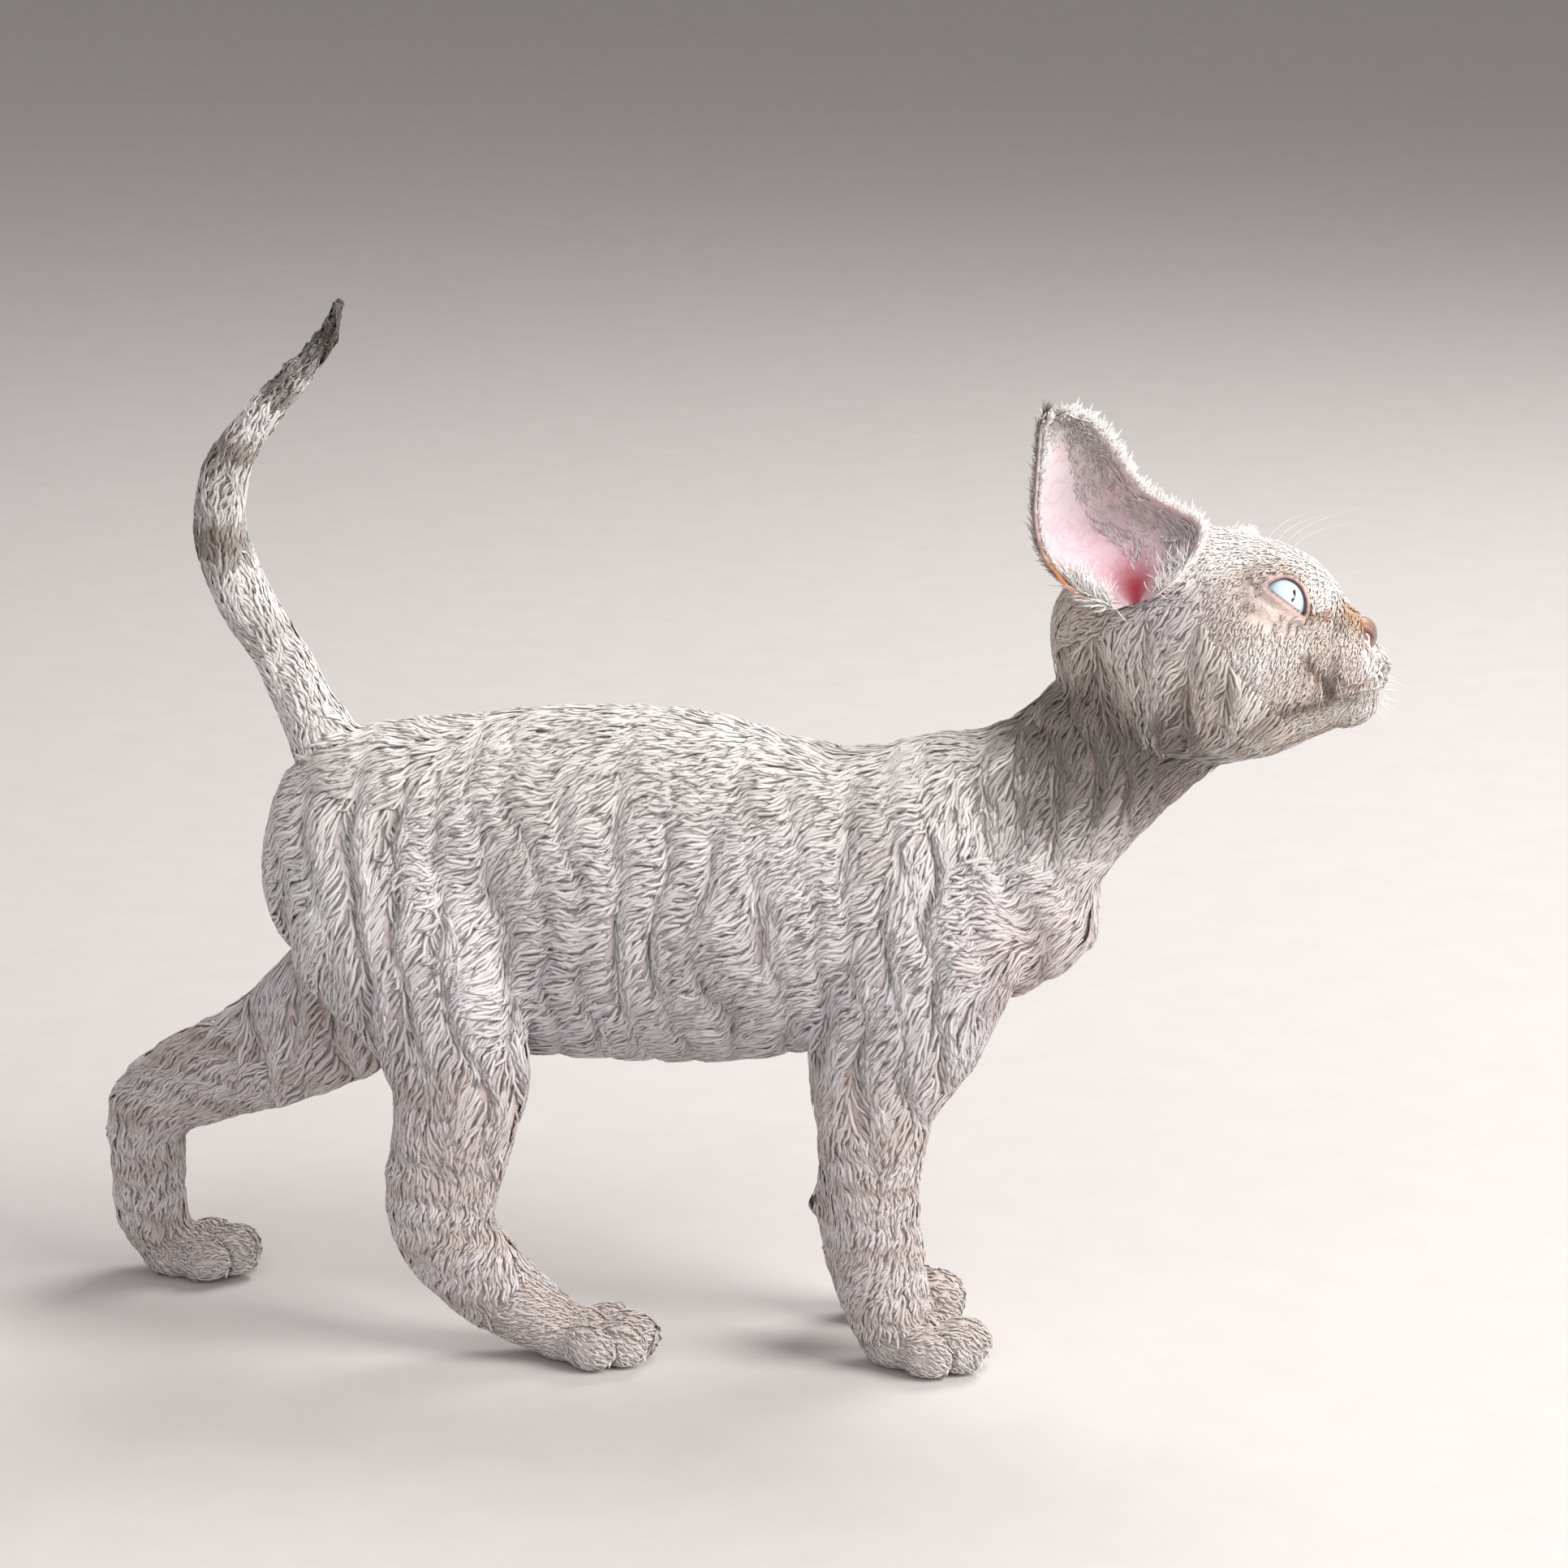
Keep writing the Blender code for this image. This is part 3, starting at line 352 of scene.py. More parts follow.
def read_normals(mesh: Mesh) -> Array:
    """The mesh's point normals."""
    return read_threes(mesh.vertex_normals, "vector").astype(float)


def read_triangles(mesh: Mesh) -> Array:
    """The mesh's triangles, as point numbers."""
    mesh.calc_loop_triangles()
    return read_threes(mesh.loop_triangles, "vertices", np.int32)


def write_points(mesh: Mesh, points: Array) -> None:
    """Moves the mesh's points to the array's places, in metres."""
    mesh.vertices.foreach_set("co", points.astype(np.float32).ravel())
    mesh.update()


def add_values(mesh: Mesh, name: str, kind: str, values: Array) -> None:
    """Adds a point attribute: three numbers or a colour for each point."""
    attribute = mesh.attributes.new(name, kind, "POINT")
    key = {"FLOAT_VECTOR": "vector", "FLOAT_COLOR": "color"}[kind]
    if kind == "FLOAT_COLOR":
        values = np.concatenate([values, np.ones((len(values), 1))], axis=1)
    attribute.data.foreach_set(key, values.astype(np.float32).ravel())


def add_bake_map(mesh: Mesh, places: Array) -> None:
    """Adds the OFBake map from one flat place for each point."""
    corners = np.empty(len(mesh.loops), np.int32)
    mesh.loops.foreach_get("vertex_index", corners)
    layer = mesh.uv_layers.new(name="OFBake")
    layer.uv.foreach_set("vector", places[corners].astype(np.float32).ravel())


def applied(obj: Piece, kind: str, **settings: object) -> Piece:
    """Runs one modifier and keeps its result as the object's mesh."""
    modifier = obj.modifiers.new(kind.title(), kind)
    for key, value in settings.items():
        setattr(modifier, key, value)
    graph = bpy.context.evaluated_depsgraph_get()
    made = bpy.data.meshes.new_from_object(obj.evaluated_get(graph))
    obj.modifiers.clear()
    before = obj.data
    obj.data = made
    made.name = before.name
    bpy.data.meshes.remove(before)
    return obj


def carve(obj: Piece, cutter: Piece) -> None:
    """Cuts one closed shape out of another, and throws the cutter away."""
    applied(obj, "BOOLEAN", operation="DIFFERENCE", object=cutter, solver="MANIFOLD")
    bpy.data.objects.remove(cutter)


class Shader:
    """A material in the making, with short ways to add and link its nodes."""

    def __init__(self, name: str) -> None:
        """Starts a material that has its Principled shader and nothing else.

        Args:
            name: the material's name.
        """
        self.material = bpy.data.materials.new(name)
        self.material.use_nodes = True
        self.tree = self.material.node_tree
        self.principled = self.tree.nodes["Principled BSDF"]

    def node(self, kind: str, **settings: object) -> bpy.types.Node:
        """Adds a node and sets what is named: its own settings, or its inputs by a name in capitals.

        Args:
            kind: the node's type without its ShaderNode start.
            settings: attribute or input names with their values or the sockets that feed them.

        Returns:
            The node.
        """
        made = self.tree.nodes.new("ShaderNode" + kind)
        for key, value in settings.items():
            if key[0].isupper():
                self.feed(made.inputs[key.replace("_", " ")], value)
            elif key.startswith("slot"):
                self.feed(made.inputs[int(key[4:])], value)
            else:
                setattr(made, key, value)
        return made

    def feed(self, socket: Socket, value: object) -> None:
        """Links another node's socket to this one, or sets it to a plain value."""
        if isinstance(value, Socket):
            self.tree.links.new(value, socket)
        else:
            socket.default_value = value

    def surface(self, **settings: object) -> None:
        """Sets the shader's own inputs, by name."""
        for key, value in settings.items():
            self.feed(self.principled.inputs[key.replace("_", " ")], value)

    def attribute(self, name: str, output: str = "Color") -> Socket:
        """The socket that gives a named attribute."""
        return self.node("Attribute", attribute_name=name).outputs[output]

    def object_place(self, stretch: tuple = (1.0, 1.0, 1.0)) -> Socket:
        """Object coordinates, stretched by a share along each axis."""
        place = self.node("TexCoord").outputs["Object"]
        return self.node("Mapping", Vector=place, Scale=stretch).outputs["Vector"]

    def noise(self, place: Socket, scale: float, detail: float = 3.0) -> Socket:
        """A noise value over a place."""
        return self.node("TexNoise", Vector=place, Scale=scale, Detail=detail).outputs["Fac"]

    def scaled(self, value: Socket, low: float, high: float) -> Socket:
        """A value from nought to one moved to run from low to high."""
        made = self.node("MapRange", Value=value)
        made.inputs["To Min"].default_value = low
        made.inputs["To Max"].default_value = high
        return made.outputs["Result"]

    def ramp(self, value: Socket, stops: tuple) -> Socket:
        """A colour for each value, by stops of a place and a colour."""
        made = self.node("ValToRGB", Fac=value)
        bar = made.color_ramp
        while len(bar.elements) < len(stops):
            bar.elements.new(0.5)
        for element, (place, colour) in zip(bar.elements, stops):
            element.position = place
            element.color = (*colour, 1.0)
        return made.outputs["Color"]

    def mixed(self, share: object, first: object, second: object, mode: str = "MIX") -> Socket:
        """A mix of two colours, each a socket or a plain colour."""
        made = self.node("Mix", data_type="RGBA", blend_type=mode)
        for socket, value in ((made.inputs[0], share), (made.inputs[6], first), (made.inputs[7], second)):
            if isinstance(value, tuple):
                value = (*value, 1.0)
            self.feed(socket, value)
        return made.outputs[2]

    def shaded(self, colour: Socket, tone: Socket, share: float = 1.0) -> Socket:
        """A colour made lighter and darker by a value."""
        grey = self.node("CombineColor", Red=tone, Green=tone, Blue=tone)
        return self.mixed(share, colour, grey.outputs[0], "MULTIPLY")

    def relief(self, height: Socket, depth: float) -> None:
        """Bumps the surface by a height value over a depth in metres."""
        made = self.node("Bump", Height=height, Distance=depth, Strength=1.0)
        self.feed(self.principled.inputs["Normal"], made.outputs["Normal"])

    def dress(self, obj: Piece) -> None:
        """Gives the material to a piece."""
        obj.data.materials.clear()
        obj.data.materials.append(self.material)


@dataclass(frozen=True)
class FurFinish:
    """Fine soft hair: the coat's colours with their painted shade, parted into strands that run along each
    lock.
    """

    roughness: float = 0.6
    sheen: float = 0.25
    glow: float = 0.3
    strand_depth: float = 0.00009
    strands: float = 5.5

    def made(self, name: str) -> Shader:
        """The finish of the locks, which read their colour and their strands from the coat."""
        shader = Shader(name)
        strand = shader.attribute("Strand", "Vector")
        across = shader.node("Mapping", Vector=strand, Scale=(self.strands, 0.45, 1.0)).outputs["Vector"]
        lines = shader.noise(across, 1.0, 2.0)
        cloud = shader.noise(shader.object_place(), 420.0, 3.0)
        tone = shader.node("Math", operation="MULTIPLY", slot0=shader.scaled(lines, 0.84, 1.14))
        shader.feed(tone.inputs[1], shader.scaled(cloud, 0.92, 1.08))
        colour = shader.shaded(shader.attribute("Coat"), tone.outputs[0])
        shader.surface(Base_Color=colour, Roughness=self.roughness, Sheen_Weight=self.sheen)
        shader.surface(Sheen_Roughness=0.45, Specular_IOR_Level=0.25)
        shader.surface(Subsurface_Weight=self.glow, Subsurface_Scale=0.0016)
        shader.principled.inputs["Subsurface Radius"].default_value = (1.0, 0.9, 0.85)
        shader.relief(lines, self.strand_depth)
        return shader


@dataclass(frozen=True)
class SkinFinish:
    """Skin under short hair: the coat's colours, with a fine nap in the surface."""

    roughness: float = 0.75
    nap_depth: float = 0.0004

    def made(self, name: str) -> Shader:
        """The finish of the skin, which reads its colour from the same markings as the coat."""
        shader = Shader(name)
        place = shader.object_place()
        nap = shader.noise(place, 1500.0, 4.0)
        cloud = shader.noise(place, 300.0, 3.0)
        colour = shader.shaded(shader.attribute("Coat"), shader.scaled(nap, 0.7, 1.25))
        flush = shader.mixed(shader.scaled(cloud, 0.0, 0.25), colour, (0.62, 0.42, 0.38))
        shader.surface(Base_Color=flush, Roughness=self.roughness, Specular_IOR_Level=0.25)
        shader.relief(nap, self.nap_depth)
        return shader


@dataclass(frozen=True)
class EarFinish:
    """Thin bare ear leather, lilac pink with fine vessels, that lets some light through."""

    roughness: float = 0.55
    glow: float = 0.1

    def made(self, name: str) -> Shader:
        """The finish of the ears, which read their colour from the ear's own markings."""
        shader = Shader(name)
        place = shader.object_place()
        vessels = shader.noise(place, 260.0, 5.0)
        grain = shader.noise(place, 2200.0, 3.0)
        clear = (1.0, 1.0, 1.0)
        veins = shader.ramp(vessels, ((0.44, clear), (0.5, (0.93, 0.72, 0.74)), (0.56, clear)))
        colour = shader.mixed(0.6, shader.attribute("Coat"), veins, "MULTIPLY")
        shader.surface(Base_Color=colour, Roughness=self.roughness, Specular_IOR_Level=0.3)
        shader.surface(Subsurface_Weight=self.glow, Subsurface_Scale=0.001)
        shader.principled.inputs["Subsurface Radius"].default_value = (1.0, 0.35, 0.25)
        shader.relief(grain, 0.00012)
        return shader


@dataclass(frozen=True)
class EyeFinish:
    """A wet eye: an ice-blue iris with fine rays, a dark slit and a dark edge, and dark beyond it."""

    roughness: float = 0.06
    slit: tuple = (0.065, 0.23)
    lean: float = 14.0

    def made(self, name: str) -> Shader:
        """The finish of an eye, which reads its place on the iris from the eye's own attribute."""
        shader = Shader(name)
        place = shader.attribute("Iris", "Vector")
        reach = shader.node("VectorMath", operation="LENGTH", slot0=place).outputs["Value"]
        course = shader.node("VectorMath", operation="NORMALIZE", slot0=place).outputs["Vector"]
        spread = shader.node("Mapping", Vector=course, Scale=(9.0, 9.0, 9.0))
        rays = shader.noise(spread.outputs["Vector"], 1.6, 5.0)
        blue = shader.ramp(
            reach,
            (
                (0.05, (0.52, 0.66, 0.76)),
                (0.16, (0.66, 0.79, 0.86)),
                (0.62, (0.56, 0.70, 0.80)),
                (0.84, (0.30, 0.42, 0.52)),
                (0.97, (0.10, 0.13, 0.17)),
            ),
        )
        iris = shader.shaded(blue, shader.scaled(rays, 0.55, 1.1), 0.8)
        upright = shader.node("Mapping", Vector=place, Rotation=(math.radians(self.lean), 0.0, 0.0))
        scale = (0.0, 1 / self.slit[0], 1 / self.slit[1])
        stretched = shader.node("Mapping", Vector=upright.outputs["Vector"], Scale=scale)
        span = shader.node("VectorMath", operation="LENGTH", slot0=stretched.outputs["Vector"])
        edge = shader.node("MapRange", Value=span.outputs["Value"], From_Min=0.85, From_Max=1.12)
        colour = shader.mixed(edge.outputs["Result"], (0.012, 0.012, 0.016), iris)
        shader.surface(Base_Color=colour, Roughness=self.roughness, Specular_IOR_Level=0.5)
        shader.surface(Coat_Weight=1.0, Coat_Roughness=0.02, Coat_IOR=1.38)
        return shader


@dataclass(frozen=True)
class LeatherFinish:
    """Bare moist leather, as on the nose, the lids, the lips and the pads."""

    colour: tuple
    dark: tuple
    roughness: float = 0.42
    pebbles: float = 1500.0
    depth: float = 0.00016

    def made(self, name: str) -> Shader:
        """The finish: two tones in soft clouds over a fine pebbled grain."""
        shader = Shader(name)
        place = shader.object_place()
        cells = shader.node("TexVoronoi", Vector=place, Scale=self.pebbles, feature="SMOOTH_F1")
        cloud = shader.noise(place, 420.0, 3.0)
        colour = shader.mixed(cloud, self.dark, self.colour)
        shader.surface(Base_Color=colour, Roughness=self.roughness, Specular_IOR_Level=0.4)
        shader.surface(Coat_Weight=0.15, Coat_Roughness=0.3)
        shader.relief(cells.outputs["Distance"], self.depth)
        return shader


@dataclass(frozen=True)
class NoseFinish:
    """The nose's bare leather: its own painted tones under a fine pebbled grain, and a little wet."""

    roughness: float = 0.4

    def made(self, name: str) -> Shader:
        """The finish, which reads its tones from the nose's attribute."""
        shader = Shader(name)
        place = shader.object_place()
        cells = shader.node("TexVoronoi", Vector=place, Scale=2600.0, feature="SMOOTH_F1")
        cloud = shader.scaled(shader.noise(place, 700.0, 3.0), 0.75, 1.2)
        colour = shader.shaded(shader.attribute("Coat"), cloud)
        shader.surface(Base_Color=colour, Roughness=self.roughness, Specular_IOR_Level=0.4)
        shader.surface(Coat_Weight=0.2, Coat_Roughness=0.25)
        shader.relief(cells.outputs["Distance"], 0.0001)
        return shader


@dataclass(frozen=True)
class HornFinish:
    """Smooth horn or a single stiff hair, pale and slightly clear."""

    colour: tuple
    roughness: float = 0.3

    def made(self, name: str) -> Shader:
        """The finish: a pale tone with faint lengthwise clouds."""
        shader = Shader(name)
        cloud = shader.noise(shader.object_place((1.0, 1.0, 0.2)), 900.0, 2.0)
        dark = tuple(0.72 * value for value in self.colour)
        shader.surface(Base_Color=shader.mixed(cloud, dark, self.colour), Roughness=self.roughness)
        return shader


@dataclass(frozen=True)
class Rings:
    """A lofted length as stations of centre x, y, z and reach fore, aft and sideways."""

    stations: tuple
    upright: bool = False
    squareness: float = 2.1

    def table(self, count: int, drop: float = 0.0) -> Array:
        """The stations on a smooth curve, drawn in under the coat."""
        table = eased(np.array(self.stations, float), count)
        table[:, 3:] -= np.minimum(drop, 0.24 * table[:, 3:].min(axis=1))[:, None]
        return table

    def axes(self, table: Array) -> tuple[Array, Array, Array]:
        """The way along, the way fore and the way across at each station."""
        along = unit(np.gradient(table[:, :3], axis=0))
        if self.upright:
            along = np.tile((1.0, 0.0, 0.0), (len(table), 1))
        fore = unit(np.cross(along, (0.0, 1.0, 0.0)))
        return along, fore, np.cross(fore, along)

    def surface(self, table: Array, sides: int = 36) -> Faces:
        """The loft: centre + reach cos(a)^p fore + side sin(a)^p across, with its own reach fore and aft."""
        _, fore, across = self.axes(table)
        angle = circle(sides)
        power = 2.0 / self.squareness if self.upright else 1.0
        cosine = np.sign(np.cos(angle)) * np.abs(np.cos(angle)) ** power
        sine = np.sign(np.sin(angle)) * np.abs(np.sin(angle)) ** power
        reach = np.where(cosine > 0, table[:, 3:4] * cosine, table[:, 4:5] * cosine)
        points = (
            table[:, None, :3]
            + reach[..., None] * fore[:, None]
            + (table[:, 5:6] * sine)[..., None] * across[:, None]
        )
        return closed_grid(points, table[0, :3], table[-1, :3])


@dataclass(frozen=True)
class Paw:
    """A paw: the middle of its sole, its heading in degrees, and its share of the plain size."""

    x: float
    y: float
    heading: float
    length: float
    breadth: float
    toe_angles: tuple = (-59.0, -19.0, 19.0, 59.0)
    toe_reach: tuple = (9.2, 11.2, 11.2, 9.2)

    def frame(self) -> Frame:
        """The paw's own frame on the floor, looking along its heading."""
        return Frame(np.array([self.x, self.y, 0.0]), rotation("Z", self.heading))

    def toe(self, number: int) -> Frame:
        """The frame of one toe, at its middle."""
        angle = math.radians(self.toe_angles[number])
        reach = self.toe_reach[number]
        place = (
            1.5 + math.cos(angle) * reach * self.length,
            math.sin(angle) * reach * self.breadth,
            5.1,
        )
        spread = rotation("Z", 0.35 * self.toe_angles[number]) @ rotation("Y", 6.0)
        return self.frame().inside(place, spread)

    def surfaces(self) -> list[Faces]:
        """The sole's pad and the four toes that fan out before it."""
        sole = self.frame().inside((0.0, 0.0, 5.2), np.eye(3))
        made = [ball((9.6 * self.length, 8.6 * self.breadth, 6.0), sole)]
        for number in range(4):
            made.append(ball((6.3, 4.1, 5.2), self.toe(number)))
        return made


@dataclass(frozen=True)
class Spots:
    """Where points lie on the cat: the length they belong to, how far along it and how far round."""

    length: Array
    along: Array
    round: Array
    way: Array
    in_head: Array


def body_lengths() -> dict[Length, Rings]:
    """The stations of every lofted length; the head's are in its own frame."""
    return {
        Length.TORSO: Rings((
            (-113, 0, 104, 9, 9, 8), (-109.5, 0, 104, 20, 18, 15), (-101, 0, 104, 27.5, 25, 20.5),
            (-88, 0, 104, 32, 33, 23.5), (-70, 0, 102, 36.2, 38, 24.5), (-45, 0, 98, 43, 35.5, 26.5),
            (-18, 0, 98, 42.4, 35.5, 27.5), (2, 0, 99, 36.4, 34, 27), (18, 0, 101, 32.8, 31.5, 25.5),
            (36, 0, 103, 35, 30, 23.5), (50, 0, 105, 30, 26, 20), (60.5, 0, 103, 21, 18, 15.5),
            (67, 0, 101, 10, 10, 9),
        ), upright=True),
        Length.NECK: Rings((
            (34, 0, 106, 27, 27, 21), (48, 0, 116, 24.5, 24, 20), (60.5, -0.3, 126, 19.5, 19.5, 18),
            (70.5, -0.6, 135.5, 18.6, 18.4, 17.5), (79, -0.8, 145, 19, 19.5, 18.5),
            (84, -1, 152, 16, 18, 18),
        )),
        Length.TAIL: Rings((
            (-92, 0, 118, 9, 9, 9), (-98.5, 0, 126.5, 9, 9, 9), (-103.8, 0, 136.5, 7.4, 7.4, 7.4),
            (-110.6, 0, 150.5, 6.5, 6.5, 6.5), (-118.5, 0, 163, 6.8, 6.8, 6.8),
            (-123, 0, 176, 6.6, 6.6, 6.6), (-122, 0, 189, 6, 6, 6), (-116.5, 0, 199, 4.6, 4.6, 4.6),
            (-107.5, 0, 209.5, 3.7, 3.7, 3.7), (-99.4, 0, 219, 2.6, 2.6, 2.6),
            (-95.9, 0, 228, 0.9, 0.9, 0.9),
        )),
        Length.HIND_RIGHT: Rings((
            (-87, -13, 112, 18, 19, 10), (-82, -17.5, 95, 26, 25, 12.5),
            (-73.5, -20.5, 78, 21.5, 18, 12), (-67.6, -21.5, 63, 15.8, 15.7, 11),
            (-69.4, -22, 50, 13.7, 13.7, 9.6), (-71.8, -21.5, 39, 13.3, 13.3, 8.8),
            (-71.3, -21, 28.5, 11.8, 12.6, 8.6), (-64, -20.5, 18, 10.8, 10.8, 8.8),
            (-53, -20.2, 10.5, 8.6, 9.6, 9.8), (-46, -20.1, 7.4, 6.2, 7.2, 9.6),
            (-40, -20.1, 6, 3.6, 4.6, 6),
        )),
        Length.HIND_LEFT: Rings((
            (-88, 13, 110, 18, 20, 10), (-88, 17.5, 92, 25, 22, 12.5),
            (-93.5, 20.5, 76.5, 20.5, 18, 12), (-106, 22.8, 63.5, 17.2, 16.8, 11),
            (-122, 24.8, 53, 13.4, 13.6, 9.6), (-138, 26.2, 46, 11.6, 12, 8.8),
            (-148.6, 26.8, 38.5, 9.8, 10.6, 8.4), (-149.8, 27, 27, 9.2, 9.2, 8.2),
            (-149.2, 27, 14, 8.8, 8.8, 8.8), (-145, 27, 7.8, 7.2, 7.6, 9.2),
            (-139, 27.1, 5.6, 4, 4.4, 6),
        )),
        Length.FORE_RIGHT: Rings((
            (38, -12, 112, 17, 17, 10), (32, -15.5, 93, 22, 21, 12), (25.5, -16.5, 73, 19, 19, 11.2),
            (22, -16.3, 60, 14.6, 14.6, 9.6), (21.7, -15.8, 42, 10.9, 10.8, 8.7),
            (22.9, -15.4, 24, 10.6, 10.7, 8.6), (25, -15, 12.5, 10, 10, 9.6),
            (28, -15, 7, 7.6, 8.2, 9.6), (33, -15.2, 5.4, 4, 4.4, 6),
        )),
        Length.FORE_LEFT: Rings((
            (36, 12, 112, 17, 17, 10), (28, 15.5, 93, 21, 21, 12), (20.5, 16.5, 73, 18.5, 18.5, 11.2),
            (16.5, 16.3, 60, 14.2, 14.2, 9.6), (15.2, 15.8, 42, 10.8, 10.7, 8.7),
            (15.6, 15.4, 24, 10.5, 10.6, 8.6), (17, 15, 12.5, 9.8, 9.8, 9.6),
            (19.5, 15, 7, 7.6, 8.2, 9.6), (24.5, 15.1, 5.4, 4, 4.4, 6),
        )),
        Length.HEAD: Rings((
            (-25.5, 0, 1, 6, 6, 6), (-21.5, 0, 2, 13.5, 14, 14), (-13, 0, 2, 20, 23, 19.5),
            (-3, 0, 1, 23.5, 28.5, 22.8), (7, 0, -1, 24.6, 29, 24), (15, 0, -4, 24.4, 26.2, 24.2),
            (22, 0, -6, 22.4, 24, 20.8), (28, 0, -8, 20.6, 21.5, 16.2),
            (32.5, 0, -9.5, 17.6, 19.5, 12.4), (35.5, 0, -11.5, 14, 15.5, 9.2),
            (37.6, 0, -13, 7.4, 11, 6),
        ), upright=True),
    }


@dataclass
class BodyPlan:
    """The cat's build: its lofted lengths, rounded masses and paws, all in millimetres."""

    core_drop: float = 1.3
    head_origin: tuple = (84.0, -1.0, 160.0)
    head_turn: float = -4.5
    head_lift: float = 20.0
    head_roll: float = 8.0
    eye_centre: tuple = (23.6, 12.0, 0.2)
    eye_radius: float = 7.8
    eye_gaze_out: float = 40.0
    eye_gaze_up: float = 3.0
    eye_slant: float = 24.0
    lids: tuple = (
        (-5.4, 1.3), (-3.9, 2.8), (-1.3, 3.7), (1.4, 2.7), (3.2, 0.4), (3.9, -2), (3.5, -3.5),
        (1.2, -2.9), (-1.2, -2), (-3.7, -0.5),
    )
    lengths: dict = field(default_factory=body_lengths)
    mouth: tuple = (
        (40.8, 0, -19.4), (39.4, 4, -20.2), (36, 9.5, -21.8), (29.2, 15.2, -22.5), (23.5, 19.5, -21.2),
        (18.8, 22.2, -19.6),
    )
    wrist_pads: tuple = ((13.2, -15.4, 26.5), (6.0, 15.4, 26.5))
    paws: tuple = (
        Paw(28.6, -15.2, -6.0, 1.0, 1.0),
        Paw(20.0, 15.2, 4.0, 1.0, 1.0),
        Paw(-43.8, -20.2, -8.0, 1.0, 0.98),
        Paw(-142.5, 27.0, 6.0, 0.95, 0.95),
    )
    face_pairs: tuple = (
        ((14.5, 16.6, -7.0), (11.0, 8.2, 10.5), 0.0, 0.0),
        ((4.0, 11.0, -12.0), (19.0, 10.6, 14.0), 0.0, 0.0),
        ((26.5, 9.0, 4.0), (6.6, 7.0, 5.6), 35.0, 0.0),
        ((23.4, 11.6, -0.6), (9.3, 9.0, 8.8), 0.0, 0.0),
        ((33.4, 6.0, -17.0), (7.4, 6.6, 6.6), 0.0, -14.0),
        ((37.0, 2.9, -18.4), (3.6, 3.5, 5.2), 0.0, 0.0),
    )
    face_middles: tuple = (
        ((31.2, 0.0, -23.8), (6.8, 7.0, 5.8), 0.0, 0.0),
        ((33.6, 0.0, -6.8), (6.6, 4.4, 4.0), 38.0, 0.0),
        ((37.6, 0.0, -10.8), (3.4, 4.2, 4.0), 0.0, 0.0),
    )

    def head(self) -> Frame:
        """The head's frame: turned to -Y, lifted at the nose and leaning its crown to +Y."""
        turn = rotation("Z", self.head_turn) @ rotation("Y", -self.head_lift)
        return Frame(np.array(self.head_origin), turn @ rotation("X", -self.head_roll))

    def eye(self, side: Side) -> Frame:
        """A frame at an eye's centre: X looks out of it and Y runs along its slanting lids."""
        x, y, z = self.eye_centre
        turn = rotation("Z", side.value * self.eye_gaze_out) @ rotation("Y", -self.eye_gaze_up)
        return self.head().inside((x, side.value * y, z), turn @ rotation("X", side.value * self.eye_slant))

    def mouth_path(self, count: int = 90) -> Array:
        """The line between the lips from the right corner round to the left, in the head's frame."""
        left = np.array(self.mouth)
        right = left[:0:-1] * (1, -1, 1)
        return eased(np.concatenate([right, left]), count)

    def lid_path(self, side: Side, reach: float, count: int = 72, grow: float = 0.0) -> Array:
        """The lids' line in the eye's frame, at a reach from the eye's middle and spread outwards by grow."""
        line = looped(self.lids, count)
        line = line + unit(line - line.mean(axis=0)) * grow
        line = line * (-side.value, 1.0)
        deep = np.sqrt(np.maximum(reach**2 - (line**2).sum(axis=1), 1.0))
        return np.concatenate([deep[:, None], line], axis=1)

    def surfaces(self) -> list[Faces]:
        """Every rounded piece of the body and the head, still overlapping."""
        made = []
        for length, rings in self.lengths.items():
            points, faces = rings.surface(rings.table(60, self.core_drop if length != Length.HEAD else 1.2))
            made.append((self.head().out(points) if length == Length.HEAD else points, faces))
        for paw in self.paws:
            made += paw.surfaces()
        for centre, radii, pitch, yaw in self.face_masses():
            frame = self.head().inside(centre, rotation("Z", yaw) @ rotation("Y", pitch))
            made.append(ball(tuple(0.965 * radius for radius in radii), frame))
        for side in Side:
            made.append(ball((9.0, 9.0, 9.0), self.eye(side)))
        for place in self.wrist_pads:
            made.append(ball((2.2, 2.0, 2.6), Frame(np.array(place), np.eye(3)), 12, 18))
        return made

    def face_masses(self) -> list[tuple]:
        """The rounded masses of the face, in the head's frame, on both sides."""
        masses = list(self.face_middles)
        for centre, radii, pitch, yaw in self.face_pairs:
            for side in Side:
                place = (centre[0], side.value * centre[1], centre[2])
                masses.append((place, radii, pitch, side.value * yaw))
        return masses

